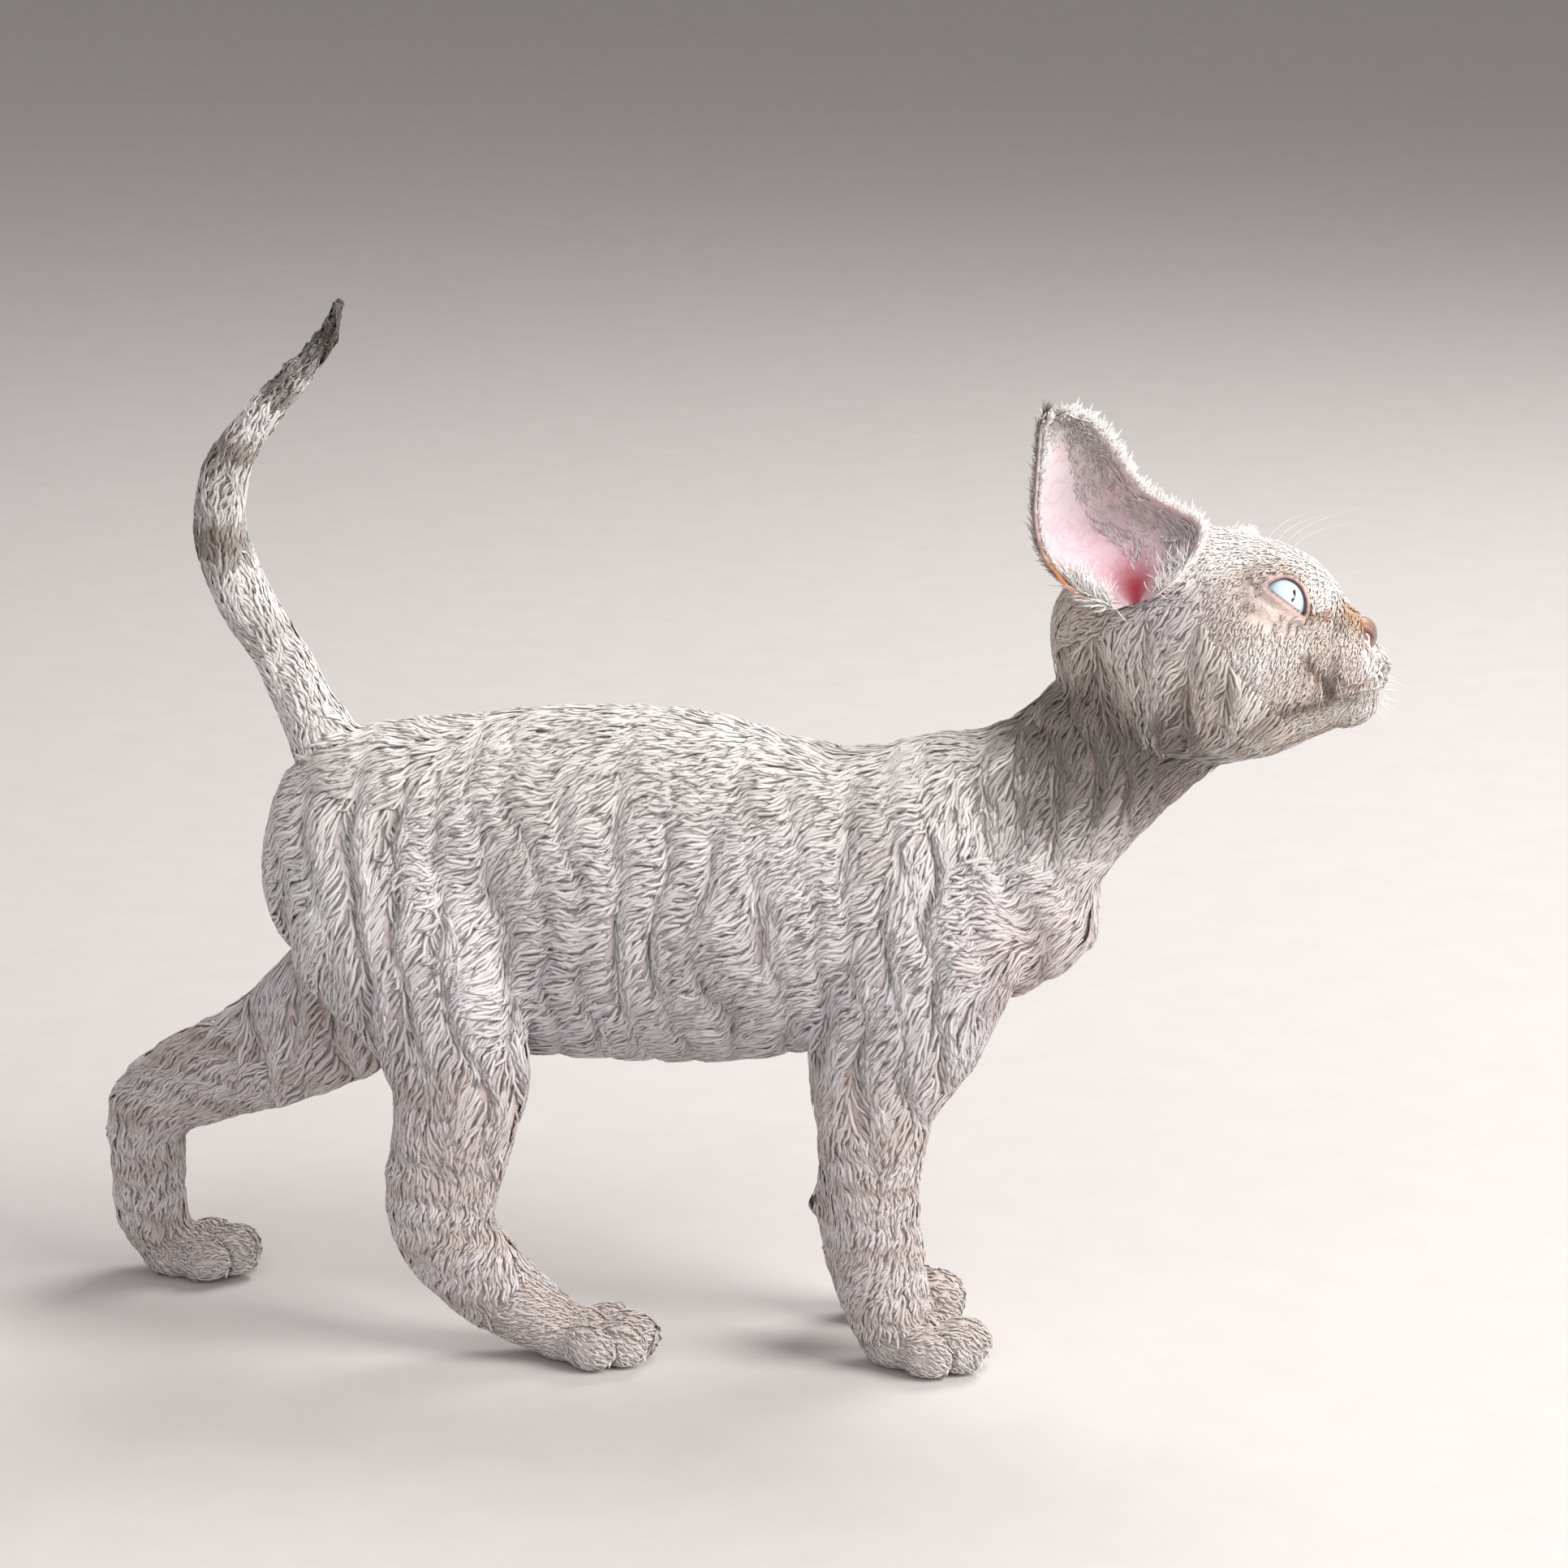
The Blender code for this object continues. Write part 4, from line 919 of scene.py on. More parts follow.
    def locate(self, points: Array) -> Spots:
        """Finds the length that each point belongs to, by the least distance as a share of its girth.

        Args:
            points: places on or near the skin.

        Returns:
            For each point its length, its share along it and round it, the way along there, and
            its place in the head's frame.
        """
        samples = 40
        best = np.full(len(points), 1e9)
        spots = Spots(
            np.zeros(len(points), int),
            np.zeros(len(points)),
            np.zeros(len(points)),
            np.zeros((len(points), 3)),
            self.head().back(points),
        )
        for length, rings in self.lengths.items():
            table = rings.table(samples, 0.0)
            along, fore, across = rings.axes(table)
            local = spots.in_head if length == Length.HEAD else points
            girth = table[:, 3:].mean(axis=1)
            apart = np.linalg.norm(local[:, None] - table[None, :, :3], axis=2)
            share = apart / girth[None]
            nearest = share.argmin(axis=1)
            value = share[np.arange(len(points)), nearest]
            nearer = value < best
            pick = nearest[nearer]
            offset = local[nearer] - table[pick, :3]
            best[nearer] = value[nearer]
            spots.length[nearer] = length.value
            spots.along[nearer] = pick / (samples - 1)
            around = np.arctan2((offset * across[pick]).sum(1), (offset * fore[pick]).sum(1))
            spots.round[nearer] = around / (2 * math.pi) % 1.0
            way = along[pick]
            spots.way[nearer] = way @ self.head().axes.T if length == Length.HEAD else way
        return spots


@dataclass(frozen=True)
class Markings:
    """The coat's colours and pattern, with some painted light and shade, which the skin and the locks share.
    """

    plan: BodyPlan
    silver: tuple = (0.80, 0.765, 0.765)
    cream: tuple = (0.89, 0.85, 0.80)
    lilac: tuple = (0.60, 0.55, 0.585)
    taupe: tuple = (0.36, 0.29, 0.26)
    blush: tuple = (0.66, 0.49, 0.46)
    white: tuple = (0.94, 0.925, 0.91)
    apricot: tuple = (0.52, 0.30, 0.14)
    brown: tuple = (0.15, 0.10, 0.07)
    black: tuple = (0.045, 0.035, 0.03)
    tan: tuple = (0.72, 0.615, 0.54)
    paw: tuple = (0.62, 0.55, 0.51)

    def colours(self, points: Array, spots: Spots) -> Array:
        """The coat's colour at each point of the skin.

        Args:
            points: places on the skin, in the plan.
            spots: where they lie on the body.

        Returns:
            One colour for each point.
        """
        made = self.body(points)
        for length in (Length.HIND_RIGHT, Length.HIND_LEFT, Length.FORE_RIGHT, Length.FORE_LEFT):
            mask = spots.length == length.value
            made[mask] = self.leg(points[mask], made[mask])
        mask = (spots.length == Length.NECK.value) | (spots.length == Length.TORSO.value)
        made[mask] = self.neck(points[mask], made[mask])
        mask = spots.length == Length.TAIL.value
        made[mask] = self.tail(points[mask], spots.along[mask])
        mask = spots.length == Length.HEAD.value
        made[mask] = self.head(points[mask], spots.in_head[mask])
        return made

    def body(self, points: Array) -> Array:
        """Cream along the back, partly painted top light, silver on the flanks, lilac low down, partly
        painted shade, and blush on the belly, in soft clouds.
        """
        height = points[:, 2]
        # Painted light: the paler cream along the back is partly the coat's colour and partly painted light
        # from above.
        made = blend(np.tile(self.silver, (len(points), 1)), self.cream, fade(112, 134, height) * 0.8)
        # Painted shade: the darker lilac low on the flanks is partly the coat's colour and partly painted
        # shade.
        made = blend(made, self.lilac, fade(112, 84, height) * 0.55)
        made = blend(made, self.blush, fade(74, 62, height) * 0.4)
        cloud = drift(points * (1.0, 1.0, 0.45), 19.0, 3)
        made = blend(made, self.taupe, fade(0.2, 1.0, cloud) * 0.34)
        return blend(made, self.white, fade(0.3, 1.1, -cloud) * 0.35)

    def neck(self, points: Array, under: Array) -> Array:
        """Dark taupe at the nape and the sides of the neck under the head, partly the coat's colour and
        partly painted shade, silver low down, and blush at the throat.
        """
        share = fade(112, 134, points[:, 2] + 3.0 * drift(points, 14.0, 9))
        share = share * fade(42, 60, points[:, 0] + 5.0 * drift(points, 11.0, 10))
        # Painted shade: the dark taupe under the head is partly the coat's colour and partly painted shade.
        made = blend(under, (0.095, 0.07, 0.06), 0.88 * share)
        front = points[:, 0] * 0.65 - (points[:, 2] - 133.0) * 0.75
        return blend(made, self.blush, 0.35 * fade(48, 64, front))

    def leg(self, points: Array, under: Array) -> Array:
        """Faint apricot and taupe bars down the legs, white and taupe paws."""
        wave = np.sin(points[:, 2] * 2 * math.pi / 13.0 + 1.6 * drift(points, 30.0, 8))
        bars = fade(0.1, 0.9, wave) * fade(92, 66, points[:, 2])
        made = blend(under, self.white, 0.3 * fade(90, 50, points[:, 2]))
        return layered(
            made,
            (tuple(0.6 * a + 0.4 * b for a, b in zip(self.apricot, self.taupe)), 0.32 * bars),
            (self.paw, 0.7 * fade(17, 10, points[:, 2])),
            (self.white, 0.5 * fade(9, 4, points[:, 2])),
        )

    def tail(self, points: Array, along: Array) -> Array:
        """Cream with brown rings that grow stronger, and a last quarter nearly black."""
        made = np.tile(blend(np.array(self.silver), self.cream, 0.4), (len(points), 1))
        wave = np.sin(along * 2 * math.pi * 7.0 + 1.3 * drift(points, 16.0, 5))
        rings = fade(-0.2, 0.8, wave) * fade(0.18, 0.5, along)
        made = blend(made, self.brown, 0.75 * rings)
        back = fade(0.0, -4.0, points[:, 0] + 118.0) * fade(0.30, 0.5, along)
        made = blend(made, self.brown, 0.35 * back)
        return blend(made, self.black, 0.92 * fade(0.74, 0.86, along + 0.03 * drift(points, 9.0, 6)))

    def head(self, points: Array, local: Array) -> Array:
        """The head's colours: the crown, cheeks and ruff first, and then the marks of the face.

        Args:
            points: places on the head, in the plan.
            local: the same places in the head's frame.

        Returns:
            One colour for each point.
        """
        u, v, w = local[:, 0], np.abs(local[:, 1]), local[:, 2]
        cloud = drift(points, 10.0, 12)
        made = np.tile(self.tan, (len(points), 1))
        made = layered(
            made,
            # Painted highlight: the white on the cheek below the eye is partly pale tufts and partly a
            # painted highlight.
            (self.white, 0.8 * bump(u, 20, 7) * bump(w, -10, 5) * fade(12, 18, v)),
            (self.lilac, 0.8 * bump(u, 6, 13) * bump(w, 6, 8) * fade(12, 18, v)),
            (self.white, 0.95 * fade(10, 15.0, w) * fade(-18, 0, u)),
            # Painted shade: the dark brown behind the jaw, under the ear and low at the back of the head is
            # partly the coat's colour and partly painted shade under the head.
            ((0.12, 0.09, 0.078), 0.86 * fade(18, 0, u) * fade(-4, -13, w + 3 * cloud)),
            ((0.13, 0.095, 0.08), 0.8 * fade(-4, -18, u) * fade(8, -4, w)),
            (self.cream, 0.6 * bump(u, 4, 9) * bump(w, -3, 4) * fade(12, 18, v)),
        )
        # Painted shade: dark streaks low on the cheeks and jaw are partly the coat's colour and partly
        # painted shade in its creases.
        streak_and_shade = fade(0.1, 0.9, cloud)
        made = blend(made, (0.20, 0.15, 0.13), 0.6 * streak_and_shade * fade(30, 18, u) * fade(-8, -14, w))
        made = blend(made, self.white, 0.5 * fade(0.0, 0.9, -cloud) * fade(-2, -6, w))
        return self.face(made, u, v, w, self.lids_apart(local))

    def face(self, made: Array, u: Array, v: Array, w: Array, lids: Array) -> Array:
        """White brow and bridge, apricot nose top, dark mouth corners partly of painted shadow, a pad groove
        of painted shade, speckled pads and dark lid edges.

        Args:
            made: the colours under the marks.
            u: how far forward each place is.
            v: how far from the middle.
            w: how far up.
            lids: how far it is from the lids' edge.

        Returns:
            The colours with the marks.
        """
        bridge = fade(24, 29, u) * fade(-5.5, -2.5, w) * fade(14, 8, v)
        made = blend(made, self.white, 0.9 * bridge)
        made = blend(made, self.white, 0.7 * fade(24, 20, v) * fade(7, 11, w) * fade(8, 16, u))
        pad = fade(28, 31, u) * fade(-11, -13, w) * fade(-23.5, -21, w)
        speckle = fade(0.35, 0.8, drift(np.stack([u, v, w], -1), 2.6, 17)) * pad
        made = layered(
            made,
            ((0.80, 0.66, 0.62), 0.85 * pad),
            (self.white, 0.6 * fade(29, 34, u) * fade(-21.5, -24, w)),
            (self.brown, 0.55 * speckle * fade(40, 36, u)),
            (self.white, 0.9 * fade(37.4, 39.6, u) * fade(-13.5, -16, w)),
        )
        # Painted shade: the dark brown along the groove behind the whisker pad stands for shade in the
        # crease.
        groove = bump(u + 0.25 * (w + 16), 28.9, 1.7) * fade(-10.5, -13, w) * fade(-23, -20.5, w)
        made = layered(
            made,
            (self.brown, 0.85 * groove),
            (self.brown, 0.45 * bump(u, 31.8, 2.8) * bump(w, -18.6, 2.2)),
            # Painted shadow: the dark line along the lips is partly dark lip edge and partly painted shadow
            # in the mouth's crease.
            (self.brown, 0.92 * bump(u, 25, 10.0) * bump(w + 0.12 * (u - 23), -21.7, 1.5)),
            (self.apricot, 0.95 * fade(33.5, 36.0, u) * bump(w, -6.2, 3.4) * fade(6.5, 3.5, v)),
            (self.brown, 0.8 * bump(u, 35.3, 2.6) * bump(w, -7.8, 1.6) * bump(v, 6.6, 2.2)),
        )
        tear = bump(w + 0.45 * (u - 31.3), -3.6, 1.1) * fade(29.8, 31.0, u) * fade(36.5, 34.0, u)
        return layered(
            made,
            ((0.34, 0.15, 0.09), 0.85 * tear * fade(16.5, 14.5, v) * fade(5, 8, v)),
            ((0.50, 0.36, 0.33), 0.6 * fade(2.2, 0.8, lids)),
            ((0.13, 0.065, 0.06), 0.9 * fade(0.75, 0.3, lids)),
        )

    def lids_apart(self, local: Array) -> Array:
        """How far each place of the head is from the nearer eye's lids, up to nine millimetres."""
        frame = self.plan.eye(Side.LEFT)
        path = self.plan.head().back(frame.out(self.plan.lid_path(Side.LEFT, 9.0, 60)))
        mirror = np.stack([local[:, 0], np.abs(local[:, 1]), local[:, 2]], -1)
        return near_path(mirror, path, 9.0)


@dataclass
class Lookup:
    """Finds the skin's nearest point to any place close to it, by a grid of cells."""

    points: Array
    normals: Array
    cell: float = 1.6
    reach: int = 5
    low: Array = field(init=False)
    grid: Array = field(init=False)

    def __post_init__(self) -> None:
        """Fills each cell that holds a point with its number, and then the cells round it."""
        self.low = self.points.min(axis=0) - self.cell * (self.reach + 1)
        size = np.ceil((self.points.max(axis=0) - self.low) / self.cell).astype(int) + self.reach + 2
        self.grid = np.full(size, -1, np.int32)
        at = ((self.points - self.low) / self.cell).astype(int)
        self.grid[at[:, 0], at[:, 1], at[:, 2]] = np.arange(len(self.points))
        for _ in range(self.reach):
            before = self.grid.copy()
            for axis in range(3):
                for step in (-1, 1):
                    shifted = np.roll(before, step, axis=axis)
                    self.grid = np.where((self.grid < 0) & (shifted >= 0), shifted, self.grid)

    def nearest(self, places: Array) -> Array:
        """The number of a skin point close to each place."""
        at = ((places - self.low) / self.cell).astype(int)
        at = np.clip(at, 0, np.array(self.grid.shape) - 1)
        return np.maximum(self.grid[at[:, 0], at[:, 1], at[:, 2]], 0)

    def settle(self, places: Array) -> tuple[Array, Array]:
        """Each place moved straight down onto the skin's tangent plane, and the way out there."""
        index = self.nearest(places)
        out = self.normals[index]
        height = dot(places - self.points[index], out)
        return places - out * np.clip(height, -6.0, 6.0), out


@dataclass
class Skin:
    """The one closed skin of the head and body, that lies under the coat."""

    plan: BodyPlan
    placing: Placing
    markings: Markings
    voxel: float = 1.25
    smoothing: int = 5

    def build(self, ears: "Ears") -> Piece:
        """Blends the body's pieces into one skin, carves the face and opens the lids and ears.

        Args:
            ears: the ears, which give the hollows that the head opens for them.

        Returns:
            The skin's object.
        """
        skin = self.placing.piece("skin", together(self.plan.surfaces()))
        applied(skin, "REMESH", mode="VOXEL", voxel_size=self.voxel * MM)
        applied(skin, "SMOOTH", factor=0.5, iterations=self.smoothing)
        self.refine(skin)
        self.sculpt(skin)
        for side in Side:
            carve(skin, self.placing.piece("lid_opening", self.lid_opening(side)))
            carve(skin, self.placing.piece("socket", ball((8.0, 8.0, 8.0), self.plan.eye(side), 30, 48)))
            carve(skin, self.placing.piece("ear_hollow", ears.hollow(side)))
        skin.data.shade_smooth()
        self.colour(skin)
        return skin

    def refine(self, skin: Piece) -> None:
        """Splits the faces of the face and the toes once, where the details are finest."""
        shape = bmesh.new()
        shape.from_mesh(skin.data)
        points = self.placing.plan(read_points(skin.data))
        local = self.plan.head().back(points)
        fine = (local[:, 0] > 14) & (np.abs(local[:, 1]) < 26) & (local[:, 2] > -36) & (local[:, 2] < 14)
        fine |= points[:, 2] < 11.0
        shape.verts.ensure_lookup_table()
        edges = [edge for edge in shape.edges if fine[edge.verts[0].index] and fine[edge.verts[1].index]]
        bmesh.ops.subdivide_edges(shape, edges=edges, cuts=1, use_grid_fill=True, smooth=0.0)
        bmesh.ops.triangulate(shape, faces=shape.faces)
        shape.to_mesh(skin.data)
        shape.free()

    def lid_opening(self, side: Side) -> Faces:
        """A prism with the lids' outline, that runs out of the eye along its gaze."""
        line = self.plan.lid_path(side, 9.0, 64)[:, 1:]
        rings = [np.concatenate([np.full((64, 1), deep), line], axis=1) for deep in (2.0, 16.0)]
        frame = self.plan.eye(side)
        ends = frame.out([(2.0, 0.0, 0.0), (16.0, 0.0, 0.0)])
        return closed_grid(frame.out(np.array(rings)), ends[0], ends[1])

    def sculpt(self, skin: Piece) -> None:
        """Presses the face's and the toes' creases in, and keeps the soles on the floor."""
        points = self.placing.plan(read_points(skin.data))
        normals = read_normals(skin.data)
        local = self.plan.head().back(points)
        near = np.flatnonzero((local[:, 0] > 12) & (local[:, 2] < 16) & (local[:, 2] > -36))
        points[near] += normals[near] * self.face_moves(local[near])[:, None]
        for paw in self.plan.paws:
            near = np.flatnonzero(np.linalg.norm(points - (paw.x, paw.y, 5.0), axis=1) < 22.0)
            points[near] += normals[near] * self.toe_moves(paw, points[near])[:, None]
        points[:, 2] = np.maximum(points[:, 2], 0.15)
        write_points(skin.data, self.placing.metres(points))

    def face_moves(self, place: Array) -> Array:
        """How far the skin moves out at the mouth, the parting, the lids and the pads' dimples."""
        path = self.plan.mouth_path()
        apart = np.linalg.norm(place[:, None] - path[None], axis=2)
        reach = apart.min(axis=1)
        above = place[:, 2] > path[apart.argmin(axis=1), 2]
        move = -1.7 * np.exp(-((reach / 0.95) ** 2))
        move += np.where(above, 0.7, 0.4) * bump(reach, 2.2, 1.2)
        u, v, w = place[:, 0], np.abs(place[:, 1]), place[:, 2]
        move -= 0.9 * bump(v, 0.0, 0.8) * fade(-13.5, -15.5, w) * fade(-21.5, -20.0, w)
        groove = bump(u + 0.25 * (w + 16), 28.6, 1.5) * fade(-10.5, -13, w) * fade(-23, -20.5, w)
        move -= 0.8 * groove
        for row, height in enumerate((-14.4, -16.4, -18.4, -20.2)):
            for column in range(4):
                spot = np.array([38.6 - 2.7 * column - 0.5 * row, 5.4 + 2.0 * column, height])
                apart = np.linalg.norm(np.stack([u, v, w], 1) - spot, axis=1)
                move -= 0.28 * np.exp(-((apart / 0.8) ** 2))
        lids = self.markings.lids_apart(place)
        move += 0.45 * bump(lids, 1.0, 0.7)
        return move - 0.55 * bump(lids, 2.7, 0.8) * fade(-3.5, 0.0, w)

    def toe_moves(self, paw: Paw, points: Array) -> Array:
        """How far the skin moves in along the creases, where two toes are equally near."""
        spans = np.stack(
            [np.linalg.norm(paw.toe(number).back(points) / (6.3, 4.1, 5.2), axis=1) for number in range(4)]
        )
        spans.sort(axis=0)
        crease = np.exp(-(((spans[1] - spans[0]) / 0.17) ** 2))
        return -1.5 * crease * fade(1.75, 1.2, spans[1]) * fade(2.0, 5.0, paw.frame().back(points)[:, 0])

    def colour(self, skin: Piece) -> None:
        """Gives the skin the coat's markings, pinker as skin under hair is and darker with painted shade
        under the coat.
        """
        points = self.placing.plan(read_points(skin.data))
        spots = self.plan.locate(points)
        tones = self.markings.colours(points, spots)
        # Painted shade: the body's skin is dimmed more than the head's, for the shade under the coat.
        dim = np.where(spots.length == Length.HEAD.value, 0.92, 0.80)
        tones = blend(tones * dim[:, None], self.markings.blush, np.full(len(points), 0.15))
        # Painted shadow: the line between the lips is partly dark lip edge and partly painted shadow in its
        # crease.
        mouth = near_path(spots.in_head, self.plan.mouth_path(60), 6.0)
        tones = blend(tones, (0.085, 0.05, 0.045), 0.9 * bump(mouth, 0.0, 0.9))
        for place in self.plan.wrist_pads:
            apart = np.linalg.norm(points - place - (-2.0, 0.0, 0.0), axis=1)
            tones = blend(tones, (0.12, 0.085, 0.08), fade(3.2, 2.0, apart))
        add_values(skin.data, "Coat", "FLOAT_COLOR", tones)


UPRIGHT = (0.2, 0.0, 1.0)


class Zone(Enum):
    """The parts of the head where the coat grows in its own way."""

    CROWN = 0
    RUFF = 1
    FACE = 2
    PAD = 3


@dataclass(frozen=True)
class Growth:
    """How the coat grows over one stretch of the body: its size, its lie and its waves.

    The lie is a direction in the plan, or in the head's frame on the head, or along the length
    where it is None. The swing is how far, in degrees, the creases turn the hair from its lie.
    """

    name: str
    length: Length
    first: float
    last: float
    spacing: float
    long: float
    wide: float
    lift: float
    lie: tuple | None
    swing: float
    rings: int = 5
    ripple: float = 9.4
    crease: float = 0.5
    course: tuple = (1.0, 0.0, 0.12)
    curl: float = 0.15
    wave: float = 0.3
    slot: str = "cream_coat"
    zone: Zone | None = None


@dataclass
class Locks:
    """Tapered locks as arrays: each lock is a row of three-cornered rings that ends in a point."""

    points: Array
    tones: Array
    strands: Array
    bake: Array
    rings: int

    def faces(self) -> Array:
        """Every lock's triangles: two for each side between rings, three at the point, one at the root."""
        count = self.points.shape[0]
        step = np.arange(self.rings - 1)[:, None] * 3
        j = np.arange(3)[None]
        k = (j + 1) % 3
        sides = np.stack([step + j, step + k, step + k + 3, step + j, step + k + 3, step + j + 3], -1)
        last = (self.rings - 1) * 3
        tip = np.stack([last + j[0], last + k[0], np.full(3, last + 3)], -1)
        one = np.concatenate([sides.reshape(-1, 3), tip, [[0, 2, 1]]])
        starts = np.arange(count)[:, None, None] * (self.rings * 3 + 1)
        return (one[None] + starts).reshape(-1, 3)

    def some(self, part: Array) -> "Locks":
        """The locks with the given numbers."""
        return Locks(self.points[part], self.tones[part], self.strands[part], self.bake[part], self.rings)


@dataclass
class Hairdresser:
    """Turns the middle lines of many locks into their meshes, with their strands and bake patches."""

    placing: Placing
    draw: np.random.Generator
    patch: float = 0.003
    most: int = 190000

    def spread(self, values: Array) -> Array:
        """A value for each ring given to its three corners, with the last for the point."""
        body = np.repeat(values[:, :-1], 3, axis=1)
        return np.concatenate([body, values[:, -1:]], axis=1)

    def shape(self, line: Array, up: Array, wide: Array, thick: float) -> Array:
        """The locks' corners: left, top and right of the line, as wide as 0.55 + 0.9 s - 1.15 s^2.2.

        Args:
            line: each lock's middle line, as locks, rings and three coordinates.
            up: the way up from the skin along it.
            wide: each lock's width.
            thick: its height as a share of its width.

        Returns:
            Each lock's points, whose last is its tip.
        """
        share = np.linspace(0, 1, line.shape[1])[:-1]
        along = unit(np.gradient(line, axis=1))
        up = unit(up - along * dot(up, along))
        across = np.cross(along, up)
        half = (0.55 + 0.9 * share - 1.15 * share**2.2)[None, :, None] * wide[:, None, None] / 2
        middle, rise, side = line[:, :-1], up[:, :-1], across[:, :-1]
        corners = np.stack([middle - side * half, middle + rise * half * 2 * thick, middle + side * half], 2)
        points = np.concatenate([corners.reshape(len(line), -1, 3), line[:, -1:]], axis=1)
        points[..., 2] = np.maximum(points[..., 2], 0.3)
        return points

    def strands(self, wide: Array, long: Array, rings: int) -> Array:
        """Across and along each lock, with its own number, for the strands of its finish."""
        count = len(wide)
        own = self.draw.uniform(0, 40, (count, 1))
        across = np.tile(np.array([0.0, 0.5, 1.0]), rings)[None] * wide[:, None]
        across = np.concatenate([across, 0.5 * wide[:, None]], axis=1)
        down = self.spread(long[:, None] * np.linspace(0, 1, rings + 1)[None])
        return np.stack([across + own, down, np.broadcast_to(own, down.shape)], -1)

    def bake(self, middle: Array, rings: int) -> Array:
        """The OFBake place: a small patch for each lock at its root's place on the skin's unwrap."""
        across = np.concatenate([np.tile(np.array([-0.5, 0.0, 0.5]), rings), [0.0]])
        down = self.spread(np.linspace(0, 1, rings + 1)[None])[0] - 0.5
        patch = np.stack([across, down], -1) * self.patch
        return (0.01 + 0.98 * middle)[:, None] + patch[None]

    def locks(self, line: Array, up: Array, wide: Array, thick: float, tones: Array, middle: Array) -> Locks:
        """Makes locks from their lines, widths, tones by ring and places on the unwrap."""
        rings = line.shape[1] - 1
        long = np.linalg.norm(np.diff(line, axis=1), axis=2).sum(axis=1)
        body = np.repeat(tones[:, :-1], 3, axis=1)
        tones = np.clip(np.concatenate([body, tones[:, -1:]], axis=1), 0.01, 0.97)
        points = self.shape(line, up, wide, thick)
        return Locks(points, tones, self.strands(wide, long, rings), self.bake(middle, rings), rings)

    def pieces(self, name: str, slot: str, locks: Locks) -> list[Piece]:
        """Makes the locks' meshes, each under the most triangles that a piece may have."""
        each = 6 * (locks.rings - 1) + 4
        groups = max(1, math.ceil(len(locks.points) * each / self.most))
        made = []
        for number, part in enumerate(np.array_split(np.argsort(locks.points[:, 0, 0]), groups)):
            some = locks.some(part)
            full = f"coat_{name}" + (f"_{number + 1}" if groups > 1 else "")
            piece = self.placing.piece(full, (some.points.reshape(-1, 3), some.faces()))
            add_values(piece.data, "Coat", "FLOAT_COLOR", some.tones.reshape(-1, 3))
            add_values(piece.data, "Strand", "FLOAT_VECTOR", some.strands.reshape(-1, 3))
            add_bake_map(piece.data, some.bake.reshape(-1, 2))
            made.append(piece)
            REPORT.info("%s: %d locks, %d triangles", full, len(part), len(part) * each)
        return made


